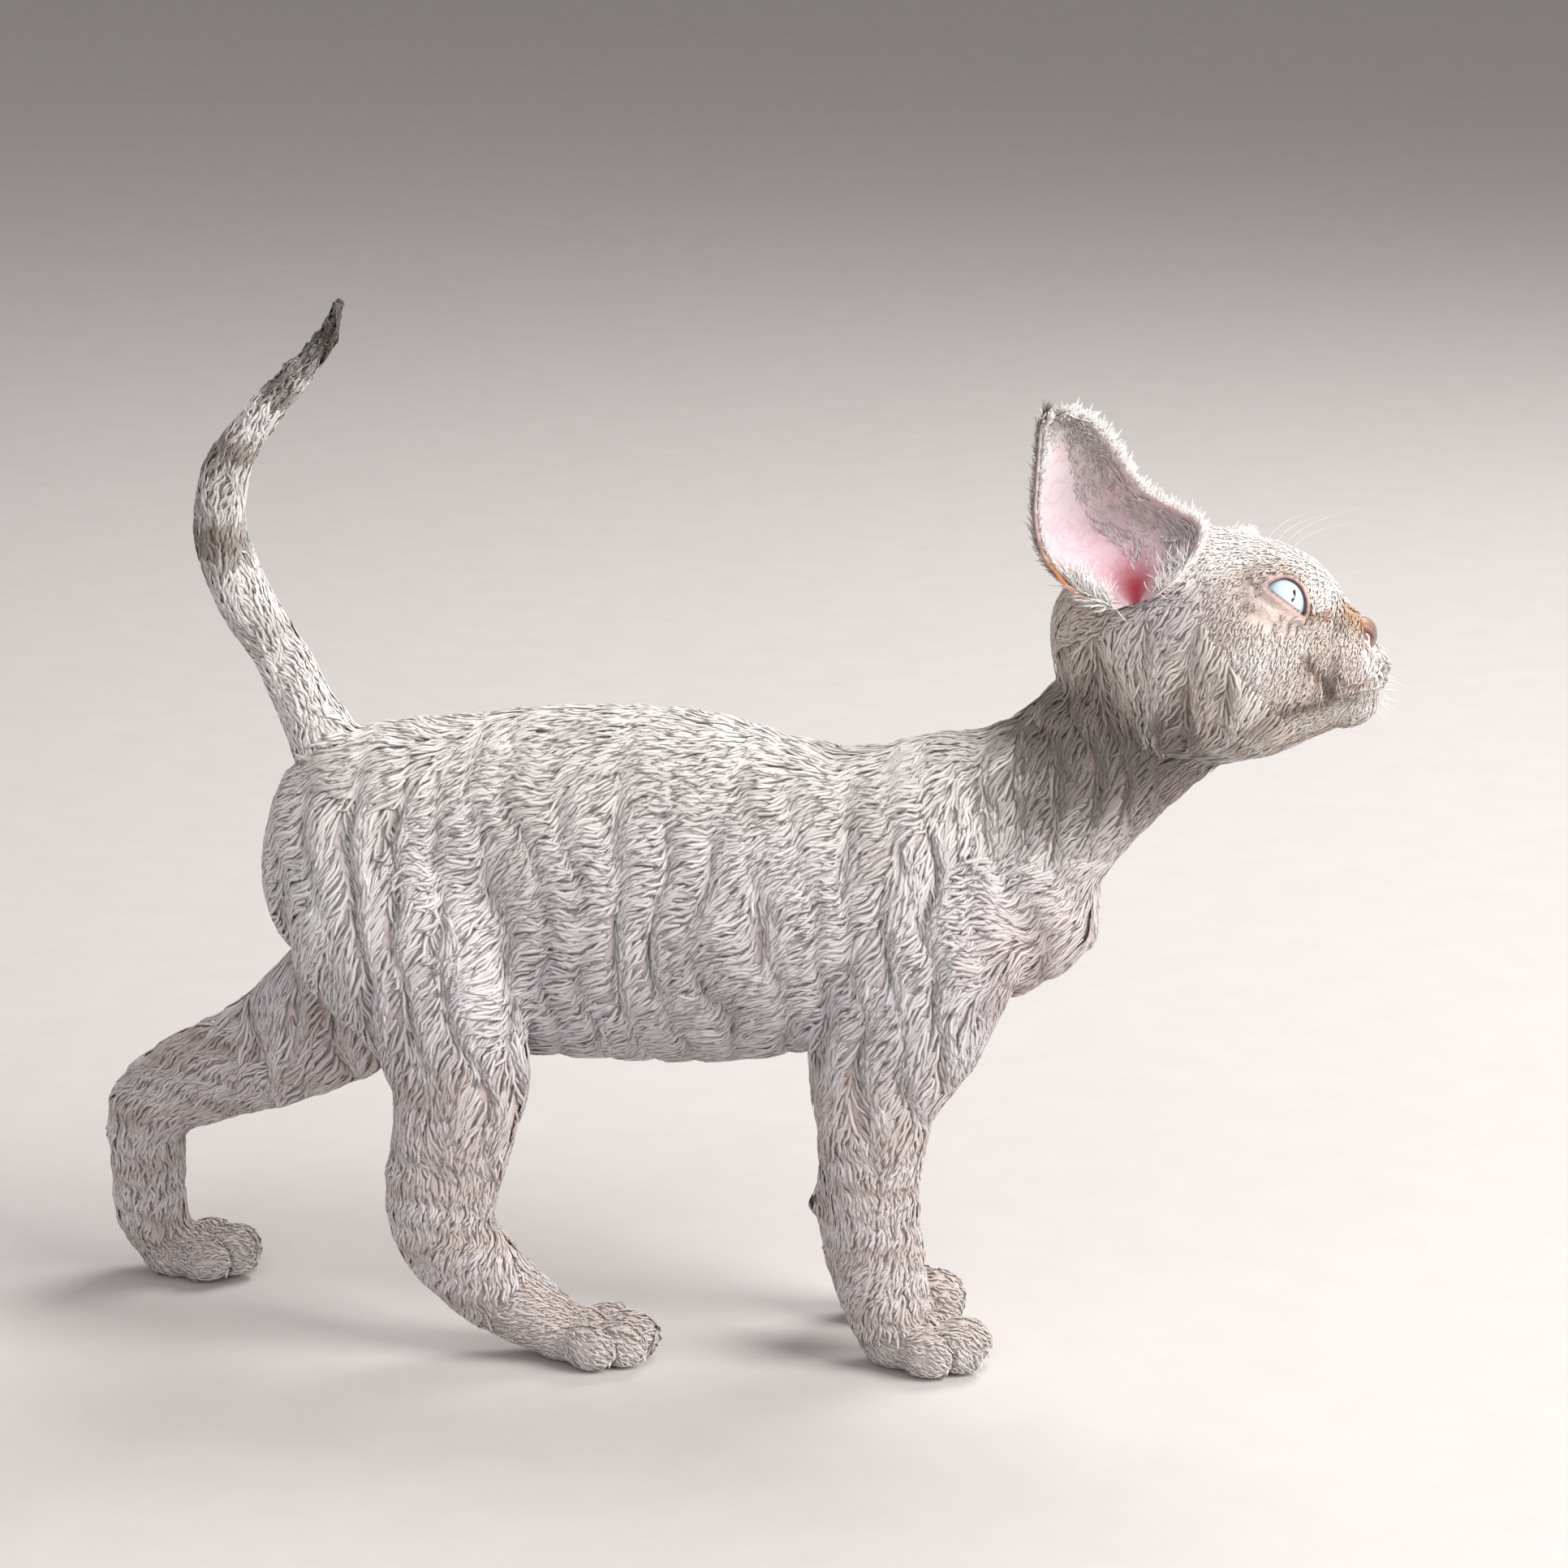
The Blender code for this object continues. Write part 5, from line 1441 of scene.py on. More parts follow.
@dataclass
class Coat:
    """The cat's coat of fine wavy locks, grown from the skin in stretches."""

    plan: BodyPlan
    placing: Placing
    markings: Markings
    skin: Piece
    seed: int = 11
    growths: tuple = (
        Growth("torso", Length.TORSO, 0, 1, 1.6, 10.5, 1.03, 1.1, (-1, 0, -0.36), 62),
        Growth("neck", Length.NECK, 0, 1, 1.63, 8, 0.969, 0.9, (-0.6, 0, -0.8), 40,
               ripple=7.5, crease=0.35),
        Growth("tail", Length.TAIL, 0.12, 0.74, 1.25, 5.2, 0.855, 0.74, None, 30, ripple=7, crease=0.3),
        Growth("tail_end", Length.TAIL, 0.74, 1.01, 0.922, 4.6, 0.684, 0.57, None, 10,
               ripple=7, crease=0.1, slot="dark_tail_fur"),
        Growth("thigh_right", Length.HIND_RIGHT, 0, 0.36, 1.54, 10, 1.03, 1.1, (-0.5, 0, -1), 58,
               ripple=9.5),
        Growth("thigh_left", Length.HIND_LEFT, 0, 0.36, 1.74, 10, 1.14, 1.1, (-0.5, 0, -1), 58, ripple=9.5),
        Growth("shank_right", Length.HIND_RIGHT, 0.36, 0.72, 1.3, 6.5, 0.855, 0.74, (-0.3, 0, -1), 40,
               ripple=7.4, crease=0.5, course=UPRIGHT),
        Growth("shank_left", Length.HIND_LEFT, 0.36, 0.8, 1.41, 6.5, 0.912, 0.74, None, 40,
               ripple=7.4, crease=0.5, course=UPRIGHT),
        Growth("foot_right", Length.HIND_RIGHT, 0.72, 1.01, 1.1, 2.2, 0.56, 0.3, (1, 0, -0.35), 12,
               rings=4, crease=0.1, slot="paw_fur"),
        Growth("foot_left", Length.HIND_LEFT, 0.8, 1.01, 1.15, 2.2, 0.6, 0.3, (1, 0, -0.5), 12,
               rings=4, crease=0.1, slot="paw_fur"),
        Growth("shoulder_right", Length.FORE_RIGHT, 0, 0.4, 1.54, 9.5, 1.03, 1, (-0.6, 0, -0.85), 58),
        Growth("shoulder_left", Length.FORE_LEFT, 0, 0.4, 1.74, 9.5, 1.14, 1, (-0.6, 0, -0.85), 58),
        Growth("forearm_right", Length.FORE_RIGHT, 0.4, 0.76, 1.25, 6, 0.855, 0.74, (-0.2, 0, -1), 40,
               ripple=7.4, crease=0.5, course=UPRIGHT),
        Growth("forearm_left", Length.FORE_LEFT, 0.4, 0.76, 1.41, 6, 0.912, 0.74, (-0.2, 0, -1), 40,
               ripple=7.4, crease=0.5, course=UPRIGHT),
        Growth("forepaw_right", Length.FORE_RIGHT, 0.76, 1.01, 1, 2.1, 0.5, 0.3, (0.8, 0, -0.8), 12,
               rings=4, crease=0.1, slot="paw_fur"),
        Growth("forepaw_left", Length.FORE_LEFT, 0.76, 1.01, 1.15, 2.1, 0.6, 0.3, (0.8, 0, -0.8), 12,
               rings=4, crease=0.1, slot="paw_fur"),
        Growth("crown", Length.HEAD, 0, 1.01, 1.17, 3.8, 0.798, 0.66, (-1, 0, 0.1), 20,
               ripple=7, crease=0.15, zone=Zone.CROWN),
        Growth("ruff", Length.HEAD, 0, 1.01, 1.36, 7.2, 0.798, 1.1, (-1, 0, -0.5), 44,
               ripple=9, crease=0.22, zone=Zone.RUFF),
        Growth("face", Length.HEAD, 0, 1.01, 0.94, 2.4, 0.479, 0.41, (-1, 0, -0.25), 10,
               rings=4, ripple=6, crease=0, zone=Zone.FACE),
        Growth("pads", Length.HEAD, 0, 1.01, 0.763, 1.7, 0.41, 0.29, (-0.8, 0, -0.5), 8,
               rings=4, ripple=6, crease=0, zone=Zone.PAD),
    )

    def build(self, ears: "Ears") -> list[Piece]:
        """Grows every stretch of the coat.

        Args:
            ears: the ears, in whose cups no coat of the head grows.

        Returns:
            The coat's pieces.
        """
        points = self.placing.plan(read_points(self.skin.data))
        normals = read_normals(self.skin.data)
        self.lookup = Lookup(points, normals)
        self.draw = np.random.default_rng(self.seed)
        self.hair = Hairdresser(self.placing, self.draw)
        points = self.press_waves(points, normals)
        roots, outs = self.seedbed(points, normals)
        spots = self.plan.locate(roots)
        bare = self.bare(roots, spots, ears)
        zones = self.zones(spots.in_head)
        made = []
        for growth in self.growths:
            mask = (spots.length == growth.length.value) & ~bare
            mask &= (spots.along >= growth.first) & (spots.along < growth.last)
            if growth.zone is not None:
                mask &= zones == growth.zone.value
            chosen = self.thinned(roots, np.flatnonzero(mask), growth.spacing)
            part = Spots(*(getattr(spots, item.name)[chosen] for item in fields(Spots)))
            locks = self.locks(growth, roots[chosen], outs[chosen], part)
            made += self.hair.pieces(growth.name, growth.slot, locks)
        return made

    def press_waves(self, points: Array, normals: Array) -> Array:
        """Presses the creases of the body's waves into the skin, so that they are part of its shape."""
        deep, _ = self.crease(self.growths[0], points)
        local = self.plan.head().back(points)
        share = fade(58.0, 74.0, points[:, 2]) * fade(-46.0, -58.0, local[:, 2] - 0.3 * local[:, 0])
        share = np.maximum(share, fade(58.0, 74.0, points[:, 2]) * fade(60.0, 44.0, points[:, 0]))
        points = points - normals * (0.75 * deep * share * fade(-114.0, -104.0, points[:, 0]))[:, None]
        write_points(self.skin.data, self.placing.metres(points))
        self.lookup = Lookup(points, read_normals(self.skin.data))
        return points

    def zones(self, local: Array) -> Array:
        """The zone of each place on the head: pads round the mouth, face, crown above and ruff behind."""
        u, v, w = local[:, 0], np.abs(local[:, 1]), local[:, 2]
        zones = np.full(len(local), Zone.FACE.value)
        zones[(u < 12) & (w >= 3)] = Zone.CROWN.value
        zones[(w < 3 + 0.12 * v) & (u < 15 - 0.35 * (w + 10))] = Zone.RUFF.value
        zones[(u > 27) & (w < -10)] = Zone.PAD.value
        return zones

    def seedbed(self, points: Array, normals: Array) -> tuple[Array, Array]:
        """Places spread at random over the skin's triangles, three on each, with the way out at each."""
        faces = read_triangles(self.skin.data)
        faces = np.repeat(faces, 3, axis=0)
        first, second = self.draw.random((2, len(faces), 1))
        over = first + second > 1
        first, second = np.where(over, 1 - first, first), np.where(over, 1 - second, second)
        third = 1 - first - second
        a, b, c = faces.T
        roots = points[a] * first + points[b] * second + points[c] * third
        outs = unit(normals[a] * first + normals[b] * second + normals[c] * third)
        order = self.draw.permutation(len(roots))
        return roots[order], outs[order]

    def bare(self, roots: Array, spots: Spots, ears: "Ears") -> Array:
        """Where no hair grows: under the paws, inside the lids and ears, on the nose and along the lips."""
        bare = roots[:, 2] < 1.4
        for side in Side:
            eye = self.plan.eye(side).back(roots)
            across = eye[:, 1] * -side.value + 0.6
            over = (across / 5.7) ** 2 + (eye[:, 2] / 4.4) ** 2 < 1
            bare |= over & (eye[:, 0] > 1) & (np.abs(eye[:, 0]) < 14)
            bare |= ears.within(side, roots)
        bare |= self.markings.lids_apart(spots.in_head) < 1.1
        nose = (spots.in_head - (39.9, 0.0, -12.2)) / (3.2, 4.6, 3.6)
        mouth = near_path(spots.in_head, self.plan.mouth_path(), 3.0)
        return bare | ((nose**2).sum(axis=1) < 1) | (mouth < 0.9)

    def thinned(self, roots: Array, chosen: Array, spacing: float) -> Array:
        """Keeps one place in each cell of a grid as wide as the spacing."""
        cells = np.floor(roots[chosen] / spacing).astype(np.int64) + 4096
        keys = (cells[:, 0] * 8192 + cells[:, 1]) * 8192 + cells[:, 2]
        _, first = np.unique(keys, return_index=True)
        return chosen[np.sort(first)]

    def crease(self, growth: Growth, places: Array) -> tuple[Array, Array]:
        """The coat's waves: exp(-2.4 (1 - cos phase)) in the creases, and the sine of the phase.

        The phase is the distance down the course over the ripple, bent by two slow drifts.

        Args:
            growth: the stretch of the coat.
            places: places on the skin.

        Returns:
            How deep in a crease each place is, and the sine of its phase.
        """
        course = unit(np.array(growth.course))
        phase = (places @ course) * 2 * math.pi / growth.ripple
        phase += 2.4 * drift(places, 42.0, 21) + 1.1 * drift(places, 17.0, 22)
        strong = 0.35 + 0.65 * fade(0.95, -0.1, drift(places, 26.0, 23))
        if growth.length == Length.TORSO:
            strong *= 0.35 + 0.65 * fade(136.0, 116.0, places[:, 2])
        return strong * np.exp(-2.4 * (1 - np.cos(phase))), strong * np.sin(phase)

    def flow(self, growth: Growth, places: Array, outs: Array, way: Array, bias: Array) -> Array:
        """The way that the hair runs along the skin, turned down in the creases and a little between them.

        Args:
            growth: the stretch of the coat.
            places: places on the skin.
            outs: the way out of the skin there.
            way: the lie of the coat there.
            bias: each lock's own turn, in radians.

        Returns:
            Unit directions across the ways out.
        """
        along = unit(way - outs * dot(way, outs))
        deep, sine = self.crease(growth, places)
        swing = math.radians(growth.swing) * (deep + 0.22 * sine)
        turn = np.where(outs[:, 1] < 0, 1.0, -1.0) * swing + bias + 0.5 * drift(places, 30.0, 31)
        return unit(turned(along, outs, turn))

    def lie(self, growth: Growth, spots: Spots, roots: Array) -> Array:
        """The coat's lie at each root, in the plan."""
        if growth.lie is None:
            return spots.way
        way = np.tile(np.array(growth.lie, float), (len(roots), 1))
        if growth.length == Length.HEAD:
            local = spots.in_head
            way[:, 1] += 0.55 * np.sign(local[:, 1]) * fade(2.0, 12.0, np.abs(local[:, 1]))
            way[:, 2] -= 0.9 * fade(2.0, -16.0, local[:, 2])
            return way @ self.plan.head().axes.T
        return way

    def locks(self, growth: Growth, roots: Array, outs: Array, spots: Spots) -> Locks:
        """Grows a stretch's locks: each steps down the flow over the skin, and rises towards its tip.

        Args:
            growth: the stretch of the coat.
            roots: where the locks start.
            outs: the way out of the skin at each.
            spots: where the roots lie on the body.

        Returns:
            The locks.
        """
        count = len(roots)
        draw = self.draw
        way = self.lie(growth, spots, roots)
        size = draw.uniform(0.75, 1.2, count)
        bias = draw.normal(0.0, growth.curl, count)
        step = growth.long * size / growth.rings
        share = np.arange(growth.rings + 1) / growth.rings
        rise = growth.lift * (0.42 + 0.58 * share**0.8)
        start = draw.uniform(0, 2 * math.pi, count)
        place, out = self.lookup.settle(roots)
        line, up, deeps = [], [], []
        for k in range(growth.rings + 1):
            deep, sine = self.crease(growth, place)
            height = rise[k] * (1 - growth.crease * deep + 0.12 * sine) * (0.85 + 0.2 * size)
            sway = np.sin(start + share[k] * growth.long * 1.5)
            sway = growth.wave * math.sin(share[k] * math.pi * 0.6) * sway
            on = self.flow(growth, place, out, way, bias)
            line.append(place + out * height[:, None] + np.cross(out, on) * sway[:, None])
            up.append(out)
            deeps.append(deep)
            place, there = self.lookup.settle(place + on * step[:, None])
            out = unit(out * 0.4 + there * 0.6)
        line, up, deep = np.stack(line, 1), np.stack(up, 1), np.stack(deeps, 1)
        tones = self.tones(growth, roots, spots, deep, share)
        span = growth.last - growth.first
        along = (spots.along + draw.uniform(-0.5, 0.5, count) / 39 - growth.first) / span
        middle = np.stack([spots.round, np.clip(along, 0, 1)], -1)
        return self.hair.locks(line, up, 1.45 * growth.wide * size, 0.15, tones, middle)

    def tones(self, growth: Growth, roots: Array, spots: Spots, deep: Array, share: Array) -> Array:
        """The colour down each lock: painted shade in the creases, a darker taupe root, partly its colour and
        partly painted shade inside the coat, and paler towards its tip.
        """
        base = self.markings.colours(roots, spots)
        base *= self.draw.normal(1.0, 0.07, (len(roots), 1))
        # Painted shade: locks darken in the creases of the waves and towards their roots.
        light = 0.94 + 0.08 * share[None] - 0.30 * growth.crease * deep
        tones = base[:, None] * light[..., None]
        shade = np.clip(0.10 - 0.4 * share[None] + 0.50 * growth.crease * deep, 0.0, 0.6)
        return blend(tones, np.array(self.markings.taupe) * 0.75, shade)


@dataclass
class Ears:
    """The two thin cupped ears, whose rims follow the levels from the notch to the tip."""

    plan: BodyPlan
    placing: Placing
    wall: float = 1.3
    levels: tuple = (
        (9, -4.6, -25.4, 3, -24.4, 2.4), (12, -8.6, -26.4, 9, -21.9, 5.8),
        (16, -11.9, -27, 13.4, -18.4, 8.8), (20.5, -13.8, -27.6, 14.8, -15.8, 10.8),
        (25.5, -14.9, -28.4, 10.4, -15.4, 10.8), (32, -13.9, -29.6, 5.4, -18.2, 9),
        (38, -11.4, -31, 4.2, -21.7, 7), (43.5, -8.8, -32.5, 3.2, -25.7, 5),
        (47.5, -6.9, -33.6, 1.7, -28.8, 3.3), (49.8, -5.8, -34, -0.3, -31.4, 2),
        (51, -4.6, -34.2, -2.4, -33.2, 0.8),
    )
    left_pivot: tuple = (-2.0, 19.0, 14.0)
    left_root: tuple = (-0.4, 20.0, 3.0)
    left_flare: float = 52.0
    left_swing: float = -14.0

    def place(self, side: Side, points: Array) -> Array:
        """Points of the right ear, in the head's frame, moved to either ear's place in the plan."""
        if side == Side.LEFT:
            turn = rotation("Z", self.left_swing) @ rotation("X", -self.left_flare)
            points = points * (1, -1, 1) - np.array(self.left_pivot)
            points = points @ turn.T + np.array(self.left_root)
        return self.plan.head().out(points)

    def unplace(self, side: Side, points: Array) -> Array:
        """Points of the plan brought back to the right ear's place in the head's frame."""
        points = self.plan.head().back(points)
        if side == Side.LEFT:
            turn = rotation("Z", self.left_swing) @ rotation("X", -self.left_flare)
            points = (points - np.array(self.left_root)) @ turn
            points = (points + np.array(self.left_pivot)) * (1, -1, 1)
        return points

    def level(self, height: Array) -> tuple[Array, Array, Array, Array, Array]:
        """The rim at each share of the ear's height.

        Args:
            height: shares up the ear, from the notch to the tip.

        Returns:
            The middle between the rims, the way from the back rim to the front one, the way into
            the head, the half width with the depth, and the height in millimetres.
        """
        table = eased(np.array(self.levels, float), 60)
        at = np.clip(height, 0, 1) * 59
        table = np.stack([np.interp(at, np.arange(60), column) for column in table.T], -1)
        back, front = table[..., 1:3], table[..., 3:5]
        along = front - back
        width = np.linalg.norm(along, axis=-1, keepdims=True)
        along = along / np.maximum(width, 1e-6)
        inwards = np.stack([along[..., 1], -along[..., 0]], -1)
        inwards *= np.where(inwards[..., 1:2] < 0, -1.0, 1.0)
        size = np.concatenate([width / 2, table[..., 5:6]], -1)
        return (back + front) / 2, along, inwards, size, table[..., 0:1]

    def sheet(self, height: Array, angle: Array) -> tuple[Array, Array]:
        """The cup's inner face: rim middle + half width sin(a) along the opening + depth cos(a) inwards.

        Args:
            height: shares up the ear, from the notch to the tip.
            angle: angles round the cup, from its back rim at -90 degrees to its front rim at 90.

        Returns:
            The points, and the way out of the cup's round side at each.
        """
        middle, along, inwards, size, level = self.level(height)
        sine, cosine = np.sin(angle)[..., None], np.cos(angle)[..., None]
        out = along * sine + inwards * cosine
        flat = middle + size[..., 0:1] * sine * along + size[..., 1:2] * cosine * inwards
        points = np.concatenate([flat, level], -1)
        return points, np.concatenate([out, np.zeros_like(level)], -1)

    def within(self, side: Side, roots: Array) -> Array:
        """Whether places on the head's skin are inside the ear's cup or its wall."""
        local = self.unplace(side, roots)
        low, high = self.levels[0][0], self.levels[-1][0]
        share = (local[:, 2] - low) / (high - low)
        middle, along, inwards, size, _ = self.level(self.share_of(local[:, 2]))
        offset = local[:, :2] - middle
        across = (offset * along).sum(axis=1) / (size[:, 0] + 0.6)
        deep = (offset * inwards).sum(axis=1) / (size[:, 1] + 0.9)
        inside = (across**2 + np.maximum(deep, 0.0) ** 2 < 1) & (deep * (size[:, 1] + 0.9) > -4.0)
        return inside & (share > 0.0) & (share < 1.0)

    def share_of(self, level: Array) -> Array:
        """The share up the ear that has a level in millimetres."""
        table = eased(np.array(self.levels, float), 60)
        return np.interp(level, table[:, 0], np.linspace(0, 1, 60))

    def surface(self, side: Side, rows: int = 90, arc: int = 56) -> tuple[Faces, Array, Array]:
        """The ear's wall: round the inner face from rim to rim, and back over the outer face.

        Args:
            side: which ear.
            rows: rings up the ear.
            arc: points across each face.

        Returns:
            The closed surface, each point's share up and angle round, and whether it is on the inside.
        """
        q = np.linspace(0, 2, 2 * arc, endpoint=False)
        angle = np.where(q < 1, q, 2 - q) * math.pi - math.pi / 2
        inside = q < 1
        height = np.linspace(0.0, 1.0, rows)
        heights, angles = np.broadcast_arrays(height[:, None], angle[None])
        edge = np.clip(1 - np.abs(angles / (math.pi / 2)) ** 10, 0, 1) ** 0.5
        thick = self.wall * (0.35 + 0.65 * edge)
        grow = np.where(inside[None], 0.5 * (self.wall - thick), 0.5 * (self.wall + thick))
        points, out = self.sheet(heights, angles)
        folds = np.where(inside[None], self.folds(heights, angles), 0.0)
        points = points + out * (grow - folds)[..., None]
        flat = self.place(side, points.reshape(-1, 3)).reshape(points.shape)
        surface = closed_grid(flat, flat[0].mean(axis=0), flat[-1].mean(axis=0))
        marks = np.stack([heights, angles], -1).reshape(-1, 2)
        marks = np.concatenate([marks, [[0.0, 0.0]], [[1.0, 0.0]]])
        within = np.concatenate([np.tile(inside, rows), [True, True]])
        return surface, marks, within

    def folds(self, height: Array, angle: Array) -> Array:
        """The ridges inside the cup: two that run up from the canal, and a small pocket at the back edge."""
        lean = np.degrees(angle)
        first = 0.9 * bump(lean, 18 + 30 * height, 9.0) * fade(0.55, 0.2, height)
        second = 0.7 * bump(lean, -32 + 14 * height, 8.0) * fade(0.5, 0.15, height)
        pocket = -0.8 * bump(lean, -66, 9.0) * bump(height, 0.22, 0.07)
        return first + second + pocket

    def hollow(self, side: Side) -> Faces:
        """The half-moon that the head opens for the cup, as deep as the middle of the ear's wall."""
        angle = np.linspace(-math.pi / 2, math.pi / 2, 24)
        height = np.linspace(0.0, 1.0, 40)
        heights, angles = np.broadcast_arrays(height[:, None], angle[None])
        points, out = self.sheet(heights, angles)
        points = points + out * self.wall / 2
        front, back = points[:, -1], points[:, 0]
        level = np.array([0.0, -5.0, 0.0])
        rings = np.concatenate([points, (front + level)[:, None], (back + level)[:, None]], axis=1)
        flat = self.place(side, rings.reshape(-1, 3)).reshape(rings.shape)
        return closed_grid(flat, flat[0].mean(axis=0), flat[-1].mean(axis=0))

    def colours(self, marks: Array, within: Array) -> Array:
        """Lilac pink inside with a crimson canal deepened by painted shade of its hollow and an orange patch
        at the back edge of painted glow of light through the ear, cream outside with the same painted glow.
        """
        height, lean = marks[:, 0], np.degrees(marks[:, 1])
        made = np.tile((0.60, 0.50, 0.55), (len(marks), 1))
        made = blend(made, (0.74, 0.68, 0.71), fade(0.35, 0.8, height))
        made = blend(made, (0.56, 0.46, 0.45), 0.6 * fade(5, 45, lean) * fade(0.2, 0.35, height))
        flush = bump(lean, 2, 30) * fade(0.5, 0.2, height)
        made = blend(made, (0.60, 0.27, 0.36), 0.4 * flush)
        # Painted shade: the canal's crimson is darkened for the shade of its hollow.
        canal = bump(lean, 0, 24) * fade(0.32, 0.1, height)
        made = blend(made, (0.30, 0.015, 0.03), 0.95 * canal)
        lilac = bump(lean, 56, 18) * bump(height, 0.22, 0.09)
        made = blend(made, (0.50, 0.46, 0.60), 0.8 * lilac)
        # Painted light: the orange patch inside and outside is a painted glow of light through the thin ear.
        glow_through = fade(-48, -76, lean) * bump(height, 0.26, 0.15)
        made = blend(made, (0.88, 0.33, 0.09), 0.95 * glow_through)
        outer = np.tile((0.70, 0.62, 0.56), (len(marks), 1))
        outer = blend(outer, (0.80, 0.36, 0.16), 0.8 * bump(height, 0.24, 0.16))
        made = np.where(within[:, None], made, outer)
        rim = fade(80, 90, -lean) * fade(0.3, 0.5, height) * ~within
        return blend(made, (0.09, 0.065, 0.05), 0.85 * np.maximum(rim, fade(0.95, 0.99, height)))

    def build(self) -> list[Piece]:
        """Makes both ears' walls.

        Returns:
            The two pieces, the right one first.
        """
        made = []
        for side in Side:
            surface, marks, within = self.surface(side)
            piece = self.placing.piece(f"ear_leather_{side.name.lower()}", surface)
            add_values(piece.data, "Coat", "FLOAT_COLOR", self.colours(marks, within))
            EarFinish().made(f"ear_leather_{side.name.lower()}").dress(piece)
            made.append(piece)
        return made


PALE = (0.80, 0.75, 0.72)
WHITE = (0.95, 0.94, 0.93)
DUSK = (0.34, 0.28, 0.255)
DARK = (0.09, 0.065, 0.05)


@dataclass(frozen=True)
class EarGrowth:
    """One growth of hair on an ear: how many locks, where they root, their size, lean and colour.

    The heights are shares up the ear and the angles run from the back rim at -90 to the front rim
    at 90. Up, out and back are the parts of the hair's way: up the ear, out of the cup's round
    side and from the front rim towards the back one. Inside is one on the cup's inner face.
    """

    name: str
    count: int
    heights: tuple
    angles: tuple
    long: float
    wide: float
    way: tuple
    inside: bool
    tone: tuple
    tip: tuple
    curl: float = 0.25


@dataclass
class EarHair:
    """The hair of the ears: a white fringe on the rims, short nap inside and outside, tufts at the base."""

    ears: Ears
    placing: Placing
    seed: int = 23
    rings: int = 4
    growths: tuple = (
        EarGrowth("front_fringe", 700, (0.03, 0.985), (74, 92), 3.0, 0.5,
                  (0.7, 0.9, -0.4), True, PALE, WHITE),
        EarGrowth("back_fringe", 460, (0.26, 0.985), (-92, -72), 2.0, 0.42,
                  (0.8, -0.35, 0.4), True, PALE, WHITE),
        EarGrowth("back_edge", 240, (0.25, 0.985), (-90, -80), 1.4, 0.34,
                  (0.9, 0.7, 0.5), False, DARK, DUSK),
        EarGrowth("front_nap", 1250, (0.18, 0.93), (2, 80), 2.2, 0.42, (0.9, -0.4, -0.35), True,
                  (0.50, 0.43, 0.41), (0.84, 0.79, 0.77)),
        EarGrowth("upper_nap", 220, (0.70, 0.97), (-70, 20), 2.0, 0.34,
                  (1.0, -0.35, 0.1), True, PALE, WHITE),
        EarGrowth("outer_nap", 850, (0.02, 0.98), (-84, 84), 2.6, 0.75, (1.0, 0.3, 0.1), False,
                  (0.62, 0.52, 0.45), PALE),
        EarGrowth("base_front", 170, (0.02, 0.17), (30, 92), 3.4, 0.42,
                  (1.0, -0.6, -0.2), True, PALE, WHITE, 0.5),
        EarGrowth("base_back", 260, (0.02, 0.24), (-92, -52), 4.8, 0.5,
                  (1.0, -0.75, 0.4), True, PALE, WHITE, 0.4),
        EarGrowth("tip", 60, (0.97, 1.0), (-90, -30), 4.6, 0.32, (1.0, 0.15, 0.25), False, DARK, DARK, 0.1),
    )

    def build(self) -> list[Piece]:
        """Grows the hair of both ears.

        Returns:
            One piece for each ear.
        """
        draw = np.random.default_rng(self.seed)
        hair = Hairdresser(self.placing, draw)
        made = []
        for side in Side:
            grown = [self.locks(growth, side, hair, draw) for growth in self.growths]
            locks = Locks(
                np.concatenate([part.points for part in grown]),
                np.concatenate([part.tones for part in grown]),
                np.concatenate([part.strands for part in grown]),
                np.concatenate([part.bake for part in grown]),
                self.rings,
            )
            made += hair.pieces(f"ear_{side.name.lower()}", "cream_coat", locks)
        return made

    def locks(self, growth: EarGrowth, side: Side, hair: Hairdresser, draw: np.random.Generator) -> Locks:
        """One growth's locks: root + way s + bend s^2, rooted at random places of the cup's faces."""
        count = growth.count
        height = draw.uniform(*growth.heights, count)
        angle = np.radians(draw.uniform(*growth.angles, count))
        root, out = self.ears.sheet(height, np.clip(angle, -math.pi / 2, math.pi / 2))
        above, _ = self.ears.sheet(np.clip(height + 0.02, 0, 1), np.clip(angle, -math.pi / 2, math.pi / 2))
        rise = unit(above - root + (0, 0, 1e-4))
        across = unit(np.cross(rise, out))
        root = root + out * (0.15 if growth.inside else self.ears.wall - 0.15)
        way = rise * growth.way[0] + out * growth.way[1] + across * growth.way[2]
        way = unit(way + draw.normal(0, growth.curl, (count, 3)))
        bend = draw.normal(0, growth.curl, (count, 3)) + rise * 0.25
        long = growth.long * draw.uniform(0.6, 1.25, count)[:, None, None]
        share = np.linspace(0, 1, self.rings + 1)[None, :, None]
        line = root[:, None] + long * (way[:, None] * share + bend[:, None] * share**2 * 0.6)
        up = np.repeat((-out if growth.inside else out)[:, None], self.rings + 1, axis=1)
        line = self.ears.place(side, line.reshape(-1, 3)).reshape(line.shape)
        up = self.ears.place(side, up.reshape(-1, 3)) - self.ears.place(side, np.zeros((1, 3)))
        up = up.reshape(line.shape)
        mixed = np.tile(growth.tone, (count, self.rings + 1, 1))
        mixed = blend(mixed, growth.tip, np.tile(share[0, :, 0], (count, 1)))
        mixed = mixed * draw.normal(1.0, 0.07, (count, 1, 1))
        middle = np.stack([0.25 + 0.5 * (angle / math.pi), height], -1)
        middle[:, 0] = np.clip(middle[:, 0] if growth.inside else middle[:, 0] + 0.5, 0, 1)
        wide = growth.wide * draw.uniform(0.7, 1.2, count)
        return hair.locks(line, up, wide, 0.45, mixed, middle)


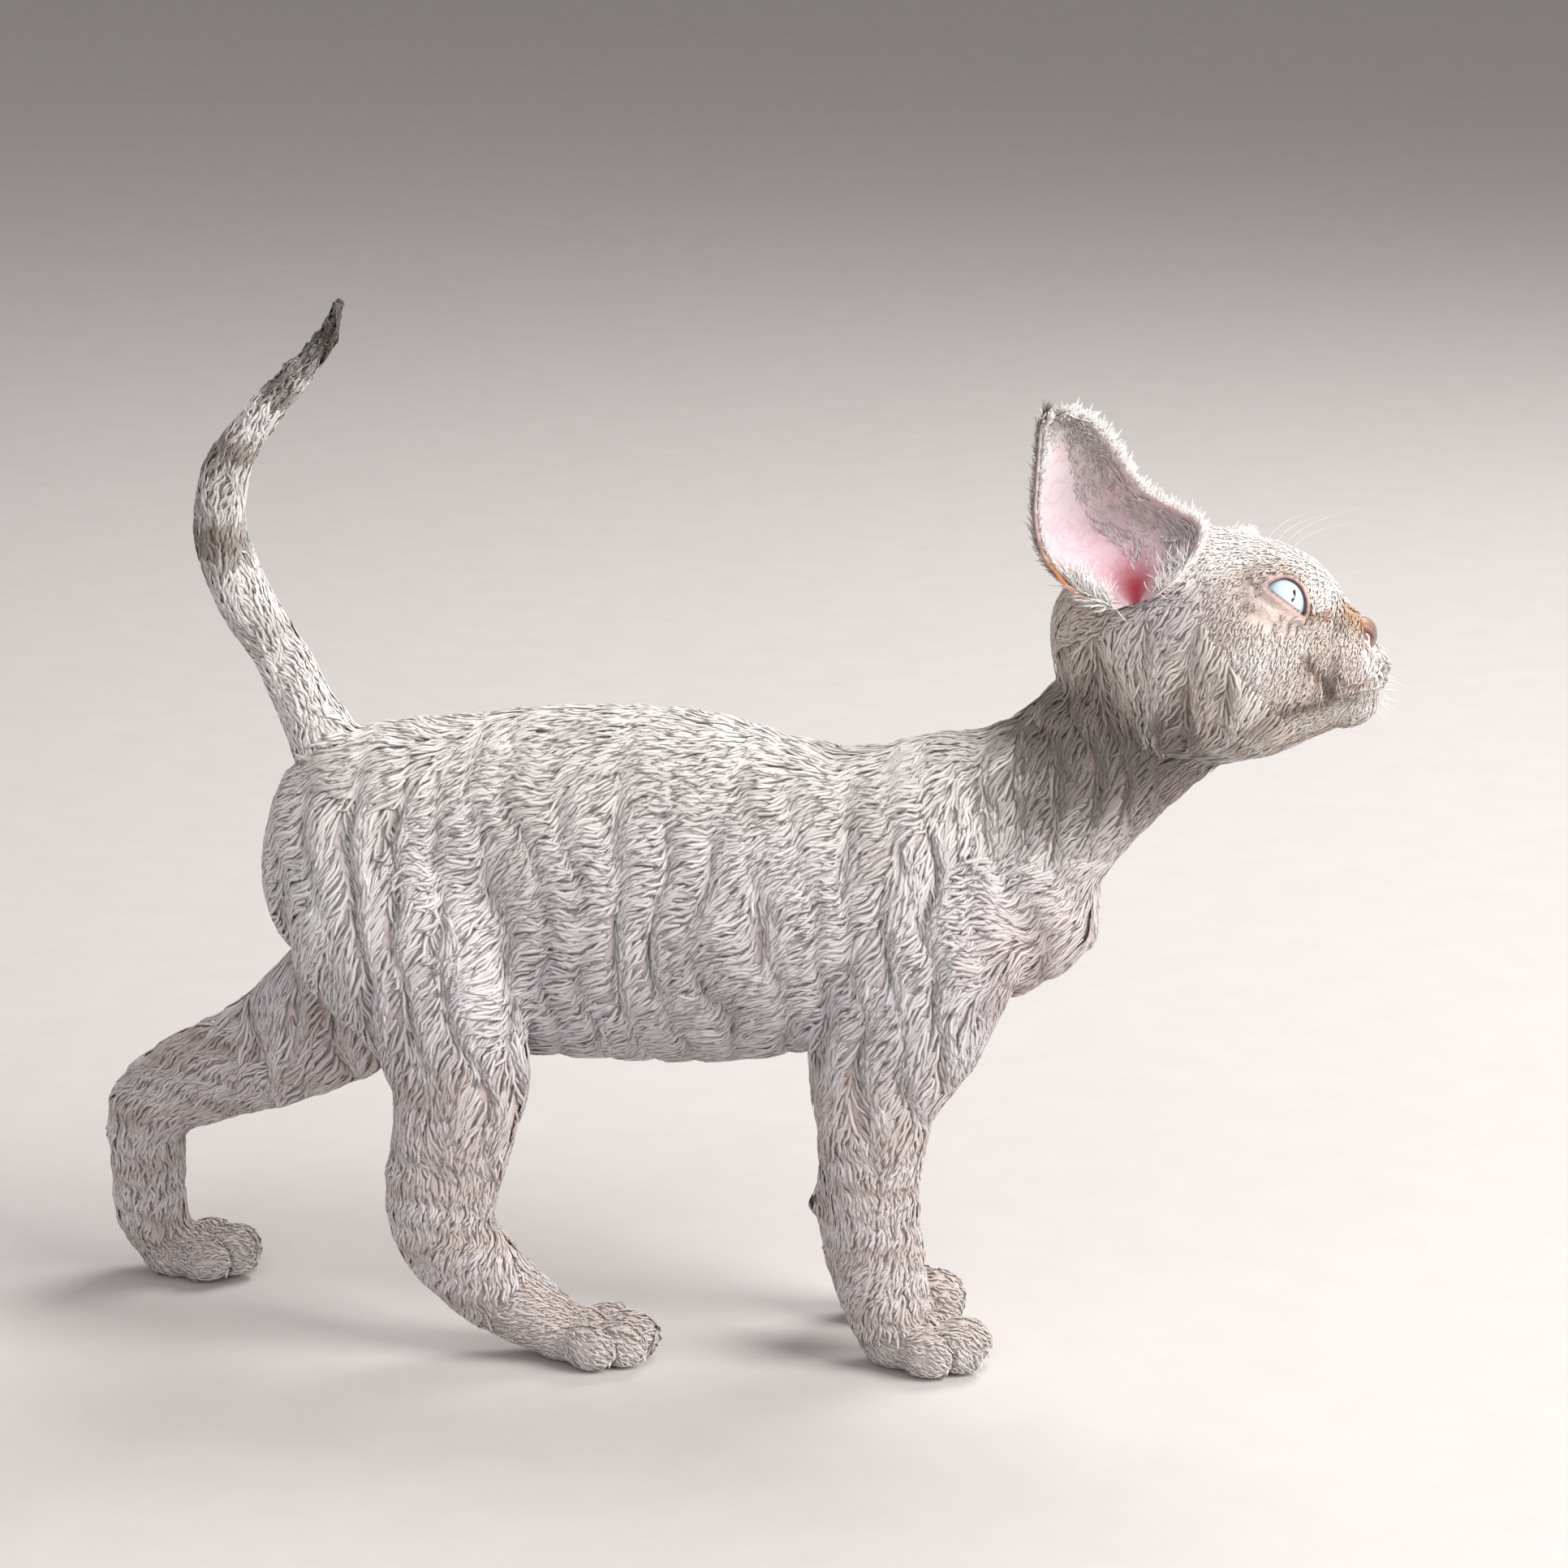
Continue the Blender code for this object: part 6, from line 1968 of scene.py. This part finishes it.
@dataclass
class Eyes:
    """The eyeballs with their bulging corneas, and the dark rims of the lids."""

    plan: BodyPlan
    placing: Placing
    cornea: float = 0.75
    cornea_half_angle: float = 46.0
    iris_half_angle: float = 45.0
    lid_radius: float = 8.7
    lid_thick: float = 0.3

    def eyeball(self, side: Side) -> tuple[Faces, Array]:
        """The eyeball: a globe round its gaze whose front bulges by cornea (1 - (t / T)^2)^2.

        Args:
            side: which eye.

        Returns:
            The closed surface, and each point's place on the iris, whose edge is at one.
        """
        tilt = np.radians(np.concatenate([np.linspace(1, 60, 60), np.linspace(64, 176, 26)]))[:, None]
        turn = circle(96)[None]
        part = np.clip(np.degrees(tilt) / self.cornea_half_angle, 0, 1)
        radius = self.plan.eye_radius + self.cornea * (1 - part**2) ** 2
        shape = (np.cos(tilt) + 0 * turn, np.sin(tilt) * np.cos(turn), np.sin(tilt) * np.sin(turn))
        points = np.stack(shape, -1) * radius[..., None]
        frame = self.plan.eye(side)
        front = frame.out((self.plan.eye_radius + self.cornea, 0, 0))
        surface = closed_grid(frame.out(points), front, frame.out((-self.plan.eye_radius, 0, 0)))
        reach = np.degrees(tilt) / self.iris_half_angle
        iris = np.stack(np.broadcast_arrays(0 * turn, reach * np.cos(turn), reach * np.sin(turn)), -1)
        iris = np.concatenate([iris.reshape(-1, 3), [[0, 0, 0]], [[0, 4, 0]]])
        return surface, iris

    def rim(self, side: Side) -> Faces:
        """The lid's dark edge: a fine cord round the opening, on the lids' own globe."""
        path = self.plan.lid_path(side, self.lid_radius, 120, 0.12)
        along = unit(np.roll(path, -1, axis=0) - np.roll(path, 1, axis=0))
        out = unit(path)
        other = np.cross(along, out)
        turn = circle(10)
        ring = np.cos(turn)[None, :, None] * out[:, None] + np.sin(turn)[None, :, None] * other[:, None]
        points = path[:, None] + ring * self.lid_thick
        rows, sides = points.shape[:2]
        i, j = np.meshgrid(np.arange(rows), np.arange(sides), indexing="ij")
        k, m = (j + 1) % sides, (i + 1) % rows
        faces = quads(i * sides + j, i * sides + k, m * sides + k, m * sides + j)
        return outwards(self.plan.eye(side).out(points.reshape(-1, 3)), faces)

    def build(self) -> tuple[list[Piece], list[Piece]]:
        """Makes the eyeballs and the lids' rims.

        Returns:
            The eyeballs, and the rims.
        """
        balls, rims = [], []
        for side in Side:
            surface, iris = self.eyeball(side)
            name = side.name.lower()
            eye = self.placing.piece(f"eyeball_{name}", surface)
            add_values(eye.data, "Iris", "FLOAT_VECTOR", iris)
            EyeFinish().made(f"wet_eye_{name}").dress(eye)
            rim = self.placing.piece(f"lid_rim_{name}", self.rim(side))
            LeatherFinish((0.12, 0.055, 0.05), (0.05, 0.025, 0.025), 0.35).made(f"lid_rim_{name}").dress(rim)
            balls.append(eye)
            rims.append(rim)
        return balls, rims


@dataclass
class Muzzle:
    """The nose leather with its nostrils, the whiskers and the brow hairs."""

    plan: BodyPlan
    placing: Placing
    seed: int = 7
    nose_centre: tuple = (38.3, 0.0, -11.5)
    nose_radii: tuple = (3.1, 4.2, 3.8)

    def nose(self) -> tuple[Faces, Array]:
        """The nose leather: an egg pressed in by two comma pits and the parting between them.

        Returns:
            The closed surface, and a colour for each point, with painted shade in the nostrils and under the
            nose.
        """
        rise = np.linspace(-math.pi / 2, math.pi / 2, 92)[1:-1, None]
        turn = circle(140)[None]
        x, y, z = np.cos(rise) * np.cos(turn), np.cos(rise) * np.sin(turn), np.sin(rise) + 0 * turn
        across, front = np.abs(y), fade(0.15, 0.5, x)
        comma = across - 0.60 - 0.28 * fade(-0.3, 0.35, z)
        pit = np.exp(-((comma / 0.15) ** 2) - (((z + 0.12) / 0.34) ** 2)) * fade(-0.1, 0.3, x)
        parting = np.exp(-((across / 0.07) ** 2)) * fade(0.1, -0.3, z) * front
        size = 1.0 - 0.42 * pit - 0.1 * parting
        points = np.stack([x, y * (1.0 + 0.12 * z), z], -1) * size[..., None] * np.array(self.nose_radii)
        shades = np.tile((0.20, 0.145, 0.15), (*x.shape, 1))
        shades = layered(
            shades,
            ((0.26, 0.14, 0.065), 0.9 * fade(0.35, 0.62, z) * np.ones_like(x)),
            ((0.26, 0.11, 0.05), 0.85 * np.exp(-((comma / 0.26) ** 2)) * fade(-0.6, -0.2, z)),
            # Painted shade: the nostril pits are near black for the shade inside them.
            ((0.045, 0.02, 0.018), np.clip(1.25 * pit, 0, 1)),
            # Painted shade: the nose darkens towards its underside.
            ((0.10, 0.055, 0.05), 0.8 * fade(-0.55, -0.85, z) * np.ones_like(x)),
        )
        frame = self.plan.head().inside(self.nose_centre, rotation("Y", 16.0))
        low, high = frame.out((0, 0, -self.nose_radii[2])), frame.out((0, 0, self.nose_radii[2]))
        tones = np.concatenate([shades.reshape(-1, 3), [shades[0, 0]], [shades[-1, 0]]])
        return closed_grid(frame.out(points), low, high), tones

    def hair(self, root: Array, way: Array, bend: Array, long: float, thick: float) -> Faces:
        """One stiff hair: root + way s + bend s^2, thinning as 1 - s to its tip."""
        s = np.linspace(0, 1, 14)[:, None]
        path = root + way * s * long + bend * s**2 * long
        return tube(path, thick * (1.02 - s[:, 0]), 5)

    def pad_hairs(self, side: Side, draw: np.random.Generator) -> list[Faces]:
        """Short curled whiskers from four rows of one pad, and the bristles of the lip and the chin."""
        made = []
        for number in range(16):
            row, column = divmod(number, 4)
            forward, out = 38.4 - 2.7 * column - 0.5 * row, 5.4 + 2.0 * column
            root = np.array([forward, side.value * out, -14.4 - 1.9 * row])
            way = unit(np.array([0.55 - 0.25 * column, side.value * (0.5 + 0.2 * column), -0.1 - 0.12 * row]))
            bend = draw.normal(0, 0.3, 3) + (0.0, 0.0, -0.4)
            made.append(self.hair(root, way, bend, draw.uniform(3.5, 8.5), 0.10))
        for number in range(9):
            root = np.array([40.6 - 0.5 * number, side.value * draw.uniform(0.3, 4.0), -21.4 - 0.8 * number])
            way = unit(np.array([1.0, side.value * 0.25, -0.35 - 0.12 * number]) + draw.normal(0, 0.15, 3))
            made.append(self.hair(root, way, draw.normal(0, 0.2, 3), draw.uniform(2.5, 4.8), 0.09))
        return made

    def brow_hairs(self, side: Side, draw: np.random.Generator) -> list[Faces]:
        """Four fine long hairs over one eye, that arch forwards."""
        made = []
        for number in range(4):
            root = np.array([27.5 - 1.8 * number, side.value * (9.5 + 1.2 * number), 10.0 + 1.0 * number])
            way = unit(np.array([0.9 - 0.12 * number, side.value * 0.3, 0.7]))
            bend = np.array([0.35, side.value * 0.1, -0.5]) + draw.normal(0, 0.08, 3)
            made.append(self.hair(root, way, bend, draw.uniform(9.0, 15.0), 0.075))
        return made

    def build(self) -> tuple[Piece, Piece]:
        """Makes the nose leather and the whiskers."""
        surface, tones = self.nose()
        nose = self.placing.piece("nose_leather", surface)
        add_values(nose.data, "Coat", "FLOAT_COLOR", tones)
        NoseFinish().made("nose_leather").dress(nose)
        draw = np.random.default_rng(self.seed)
        hairs = []
        for side in Side:
            hairs += self.pad_hairs(side, draw) + self.brow_hairs(side, draw)
        points, faces = together(hairs)
        whiskers = self.placing.piece("whiskers", (self.plan.head().out(points), faces))
        HornFinish((0.90, 0.88, 0.86)).made("whisker").dress(whiskers)
        return nose, whiskers


@dataclass
class Claws:
    """The small pale claws that just show between the hairs of each toe."""

    plan: BodyPlan
    placing: Placing
    long: float = 3.6
    thick: float = 0.7

    def claw(self, toe: Frame) -> Faces:
        """One claw: a cord bent as (cos t, 0, sin t) over a quarter turn, thinning to its tip."""
        turn = np.radians(np.linspace(20, 105, 12))
        radius = self.long / 1.6
        path = np.stack([np.sin(turn) * radius, 0 * turn, np.cos(turn) * radius], -1)
        path = path - path[0] + (4.6, 0.0, -0.4)
        return tube(toe.out(path), self.thick * np.sqrt(np.linspace(1, 0.02, 12)), 8, 0.6)

    def build(self) -> Piece:
        """Makes every claw as one piece."""
        made = [self.claw(paw.toe(number)) for paw in self.plan.paws for number in range(4)]
        claws = self.placing.piece("claws", together(made))
        HornFinish((0.80, 0.74, 0.68)).made("claw_horn").dress(claws)
        return claws


@dataclass
class Studio:
    """The pale floor, the soft lights and the camera at the photograph's angle."""

    placing: Placing
    azimuth: float = 8.0
    elevation: float = 13.0
    distance: float = 1.25
    half_frame: float = 0.16905
    target: tuple = (0.0, 0.0, 124.8)
    sensor: float = 36.0

    def aim(self, obj: Piece, place: Array, at: Array) -> None:
        """Puts a camera or light at a place and points it at another."""
        obj.location = place
        obj.rotation_euler = Vector(at - place).to_track_quat("-Z", "Y").to_euler()
        bpy.context.scene.collection.objects.link(obj)

    def camera(self) -> None:
        """Sets the camera up from its angles, its distance and the half width of its frame at the cat."""
        a, e = math.radians(self.azimuth), math.radians(self.elevation)
        back = np.array([math.sin(a) * math.cos(e), -math.cos(a) * math.cos(e), math.sin(e)])
        at = self.placing.metres(np.array(self.target))
        data = bpy.data.cameras.new("camera")
        data.sensor_width = self.sensor
        data.lens = self.sensor / 2 * self.distance / self.half_frame
        data.clip_start = 0.05
        camera = bpy.data.objects.new("camera", data)
        self.aim(camera, at + back * self.distance, at)
        bpy.context.scene.camera = camera

    def light(self, name: str, place: tuple, size: float, power: float, colour: tuple) -> None:
        """Adds a square soft light that looks at the cat."""
        data = bpy.data.lights.new(name, "AREA")
        data.size = size
        data.energy = power
        data.color = colour
        self.aim(bpy.data.objects.new(name, data), np.array(place), np.array([0.0, 0.0, 0.11]))

    def floor(self) -> None:
        """A wide pale floor that is no part of the cat."""
        span = np.linspace(-12.0, 12.0, 9) * 1000
        x, y = np.meshgrid(span, span)
        points = np.stack([x, y, np.full_like(x, -0.02)], -1).reshape(-1, 3)
        i, j = np.meshgrid(np.arange(8), np.arange(8), indexing="ij")
        a = i * 9 + j
        faces = quads(a, a + 1, a + 10, a + 9)
        floor = self.placing.piece("floor", (points, faces))
        shader = Shader("pale_floor")
        grain = shader.noise(shader.object_place(), 60.0, 4.0)
        colour = shader.mixed(grain, (0.50, 0.48, 0.47), (0.55, 0.53, 0.52))
        shader.surface(Base_Color=colour, Roughness=0.8)
        shader.dress(floor)

    def build(self) -> None:
        """Sets the floor, the lights, the even sky and the camera."""
        self.floor()
        self.light("window", (1.15, -0.45, 0.95), 0.9, 31.0, (1.0, 0.965, 0.93))
        self.light("back_rim", (0.45, 0.85, 1.2), 0.8, 17.0, (1.0, 0.98, 0.97))
        self.light("front_fill", (-0.3, -1.5, 0.7), 1.8, 11.0, (0.97, 0.97, 1.0))
        world = bpy.data.worlds.new("even_sky")
        world.use_nodes = True
        world.node_tree.nodes["Background"].inputs["Color"].default_value = (0.86, 0.82, 0.82, 1.0)
        world.node_tree.nodes["Background"].inputs["Strength"].default_value = 0.42
        bpy.context.scene.world = world
        bpy.context.scene.view_settings.view_transform = "Standard"
        self.camera()


def find_placing(plan: BodyPlan) -> Placing:
    """Finds the plan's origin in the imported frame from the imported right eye."""
    low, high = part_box("eye_right")
    middle = (np.array(low) + np.array(high)) / 2 / MM
    return Placing(middle - plan.eye(Side.RIGHT).origin)


def build_cat(nodes: list[str], plan: BodyPlan, placing: Placing) -> list[Piece]:
    """Builds every piece of the cat, and hides the CAD nodes that they replace.

    Args:
        nodes: the names of the CAD nodes.
        plan: the cat's build.
        placing: where the plan stands in the frame.

    Returns:
        The pieces.
    """
    markings = Markings(plan)
    ears = Ears(plan, placing)
    skin = Skin(plan, placing, markings).build(ears)
    SkinFinish().made("short_haired_skin").dress(skin)
    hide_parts(*[name for name in nodes if not name.startswith(("eye_", "ear_"))])
    walls = ears.build()
    balls, rims = Eyes(plan, placing).build()
    for made, kind, slot in ((walls, "ear", "ear_skin"), (balls, "eye", "eye")):
        for side, piece in zip(Side, made):
            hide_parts(f"{kind}_{side.name.lower()}")
    nose, whiskers = Muzzle(plan, placing).build()
    claws = Claws(plan, placing).build()
    fur = FurFinish().made("wavy_coat")
    coat = Coat(plan, placing, markings, skin).build(ears) + EarHair(ears, placing).build()
    for piece in coat:
        fur.dress(piece)
    return [skin, *walls, *balls, *rims, nose, whiskers, claws, *coat]


def main() -> None:
    """Builds every sub-assembly in order, ties each piece to the frame and reports it."""
    logging.basicConfig(level=logging.INFO, format="%(message)s")
    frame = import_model()
    plan = BodyPlan()
    placing = find_placing(plan)
    pieces = build_cat(list(frame["nodes"]), plan, placing)
    for piece in pieces:
        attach(piece, "root")
        REPORT.info("%s: %d faces", piece.name, len(piece.data.polygons))
    REPORT.info("all pieces: %d faces", sum(len(piece.data.polygons) for piece in pieces))
    Studio(placing).build()


if __name__ == "__main__":
    main()
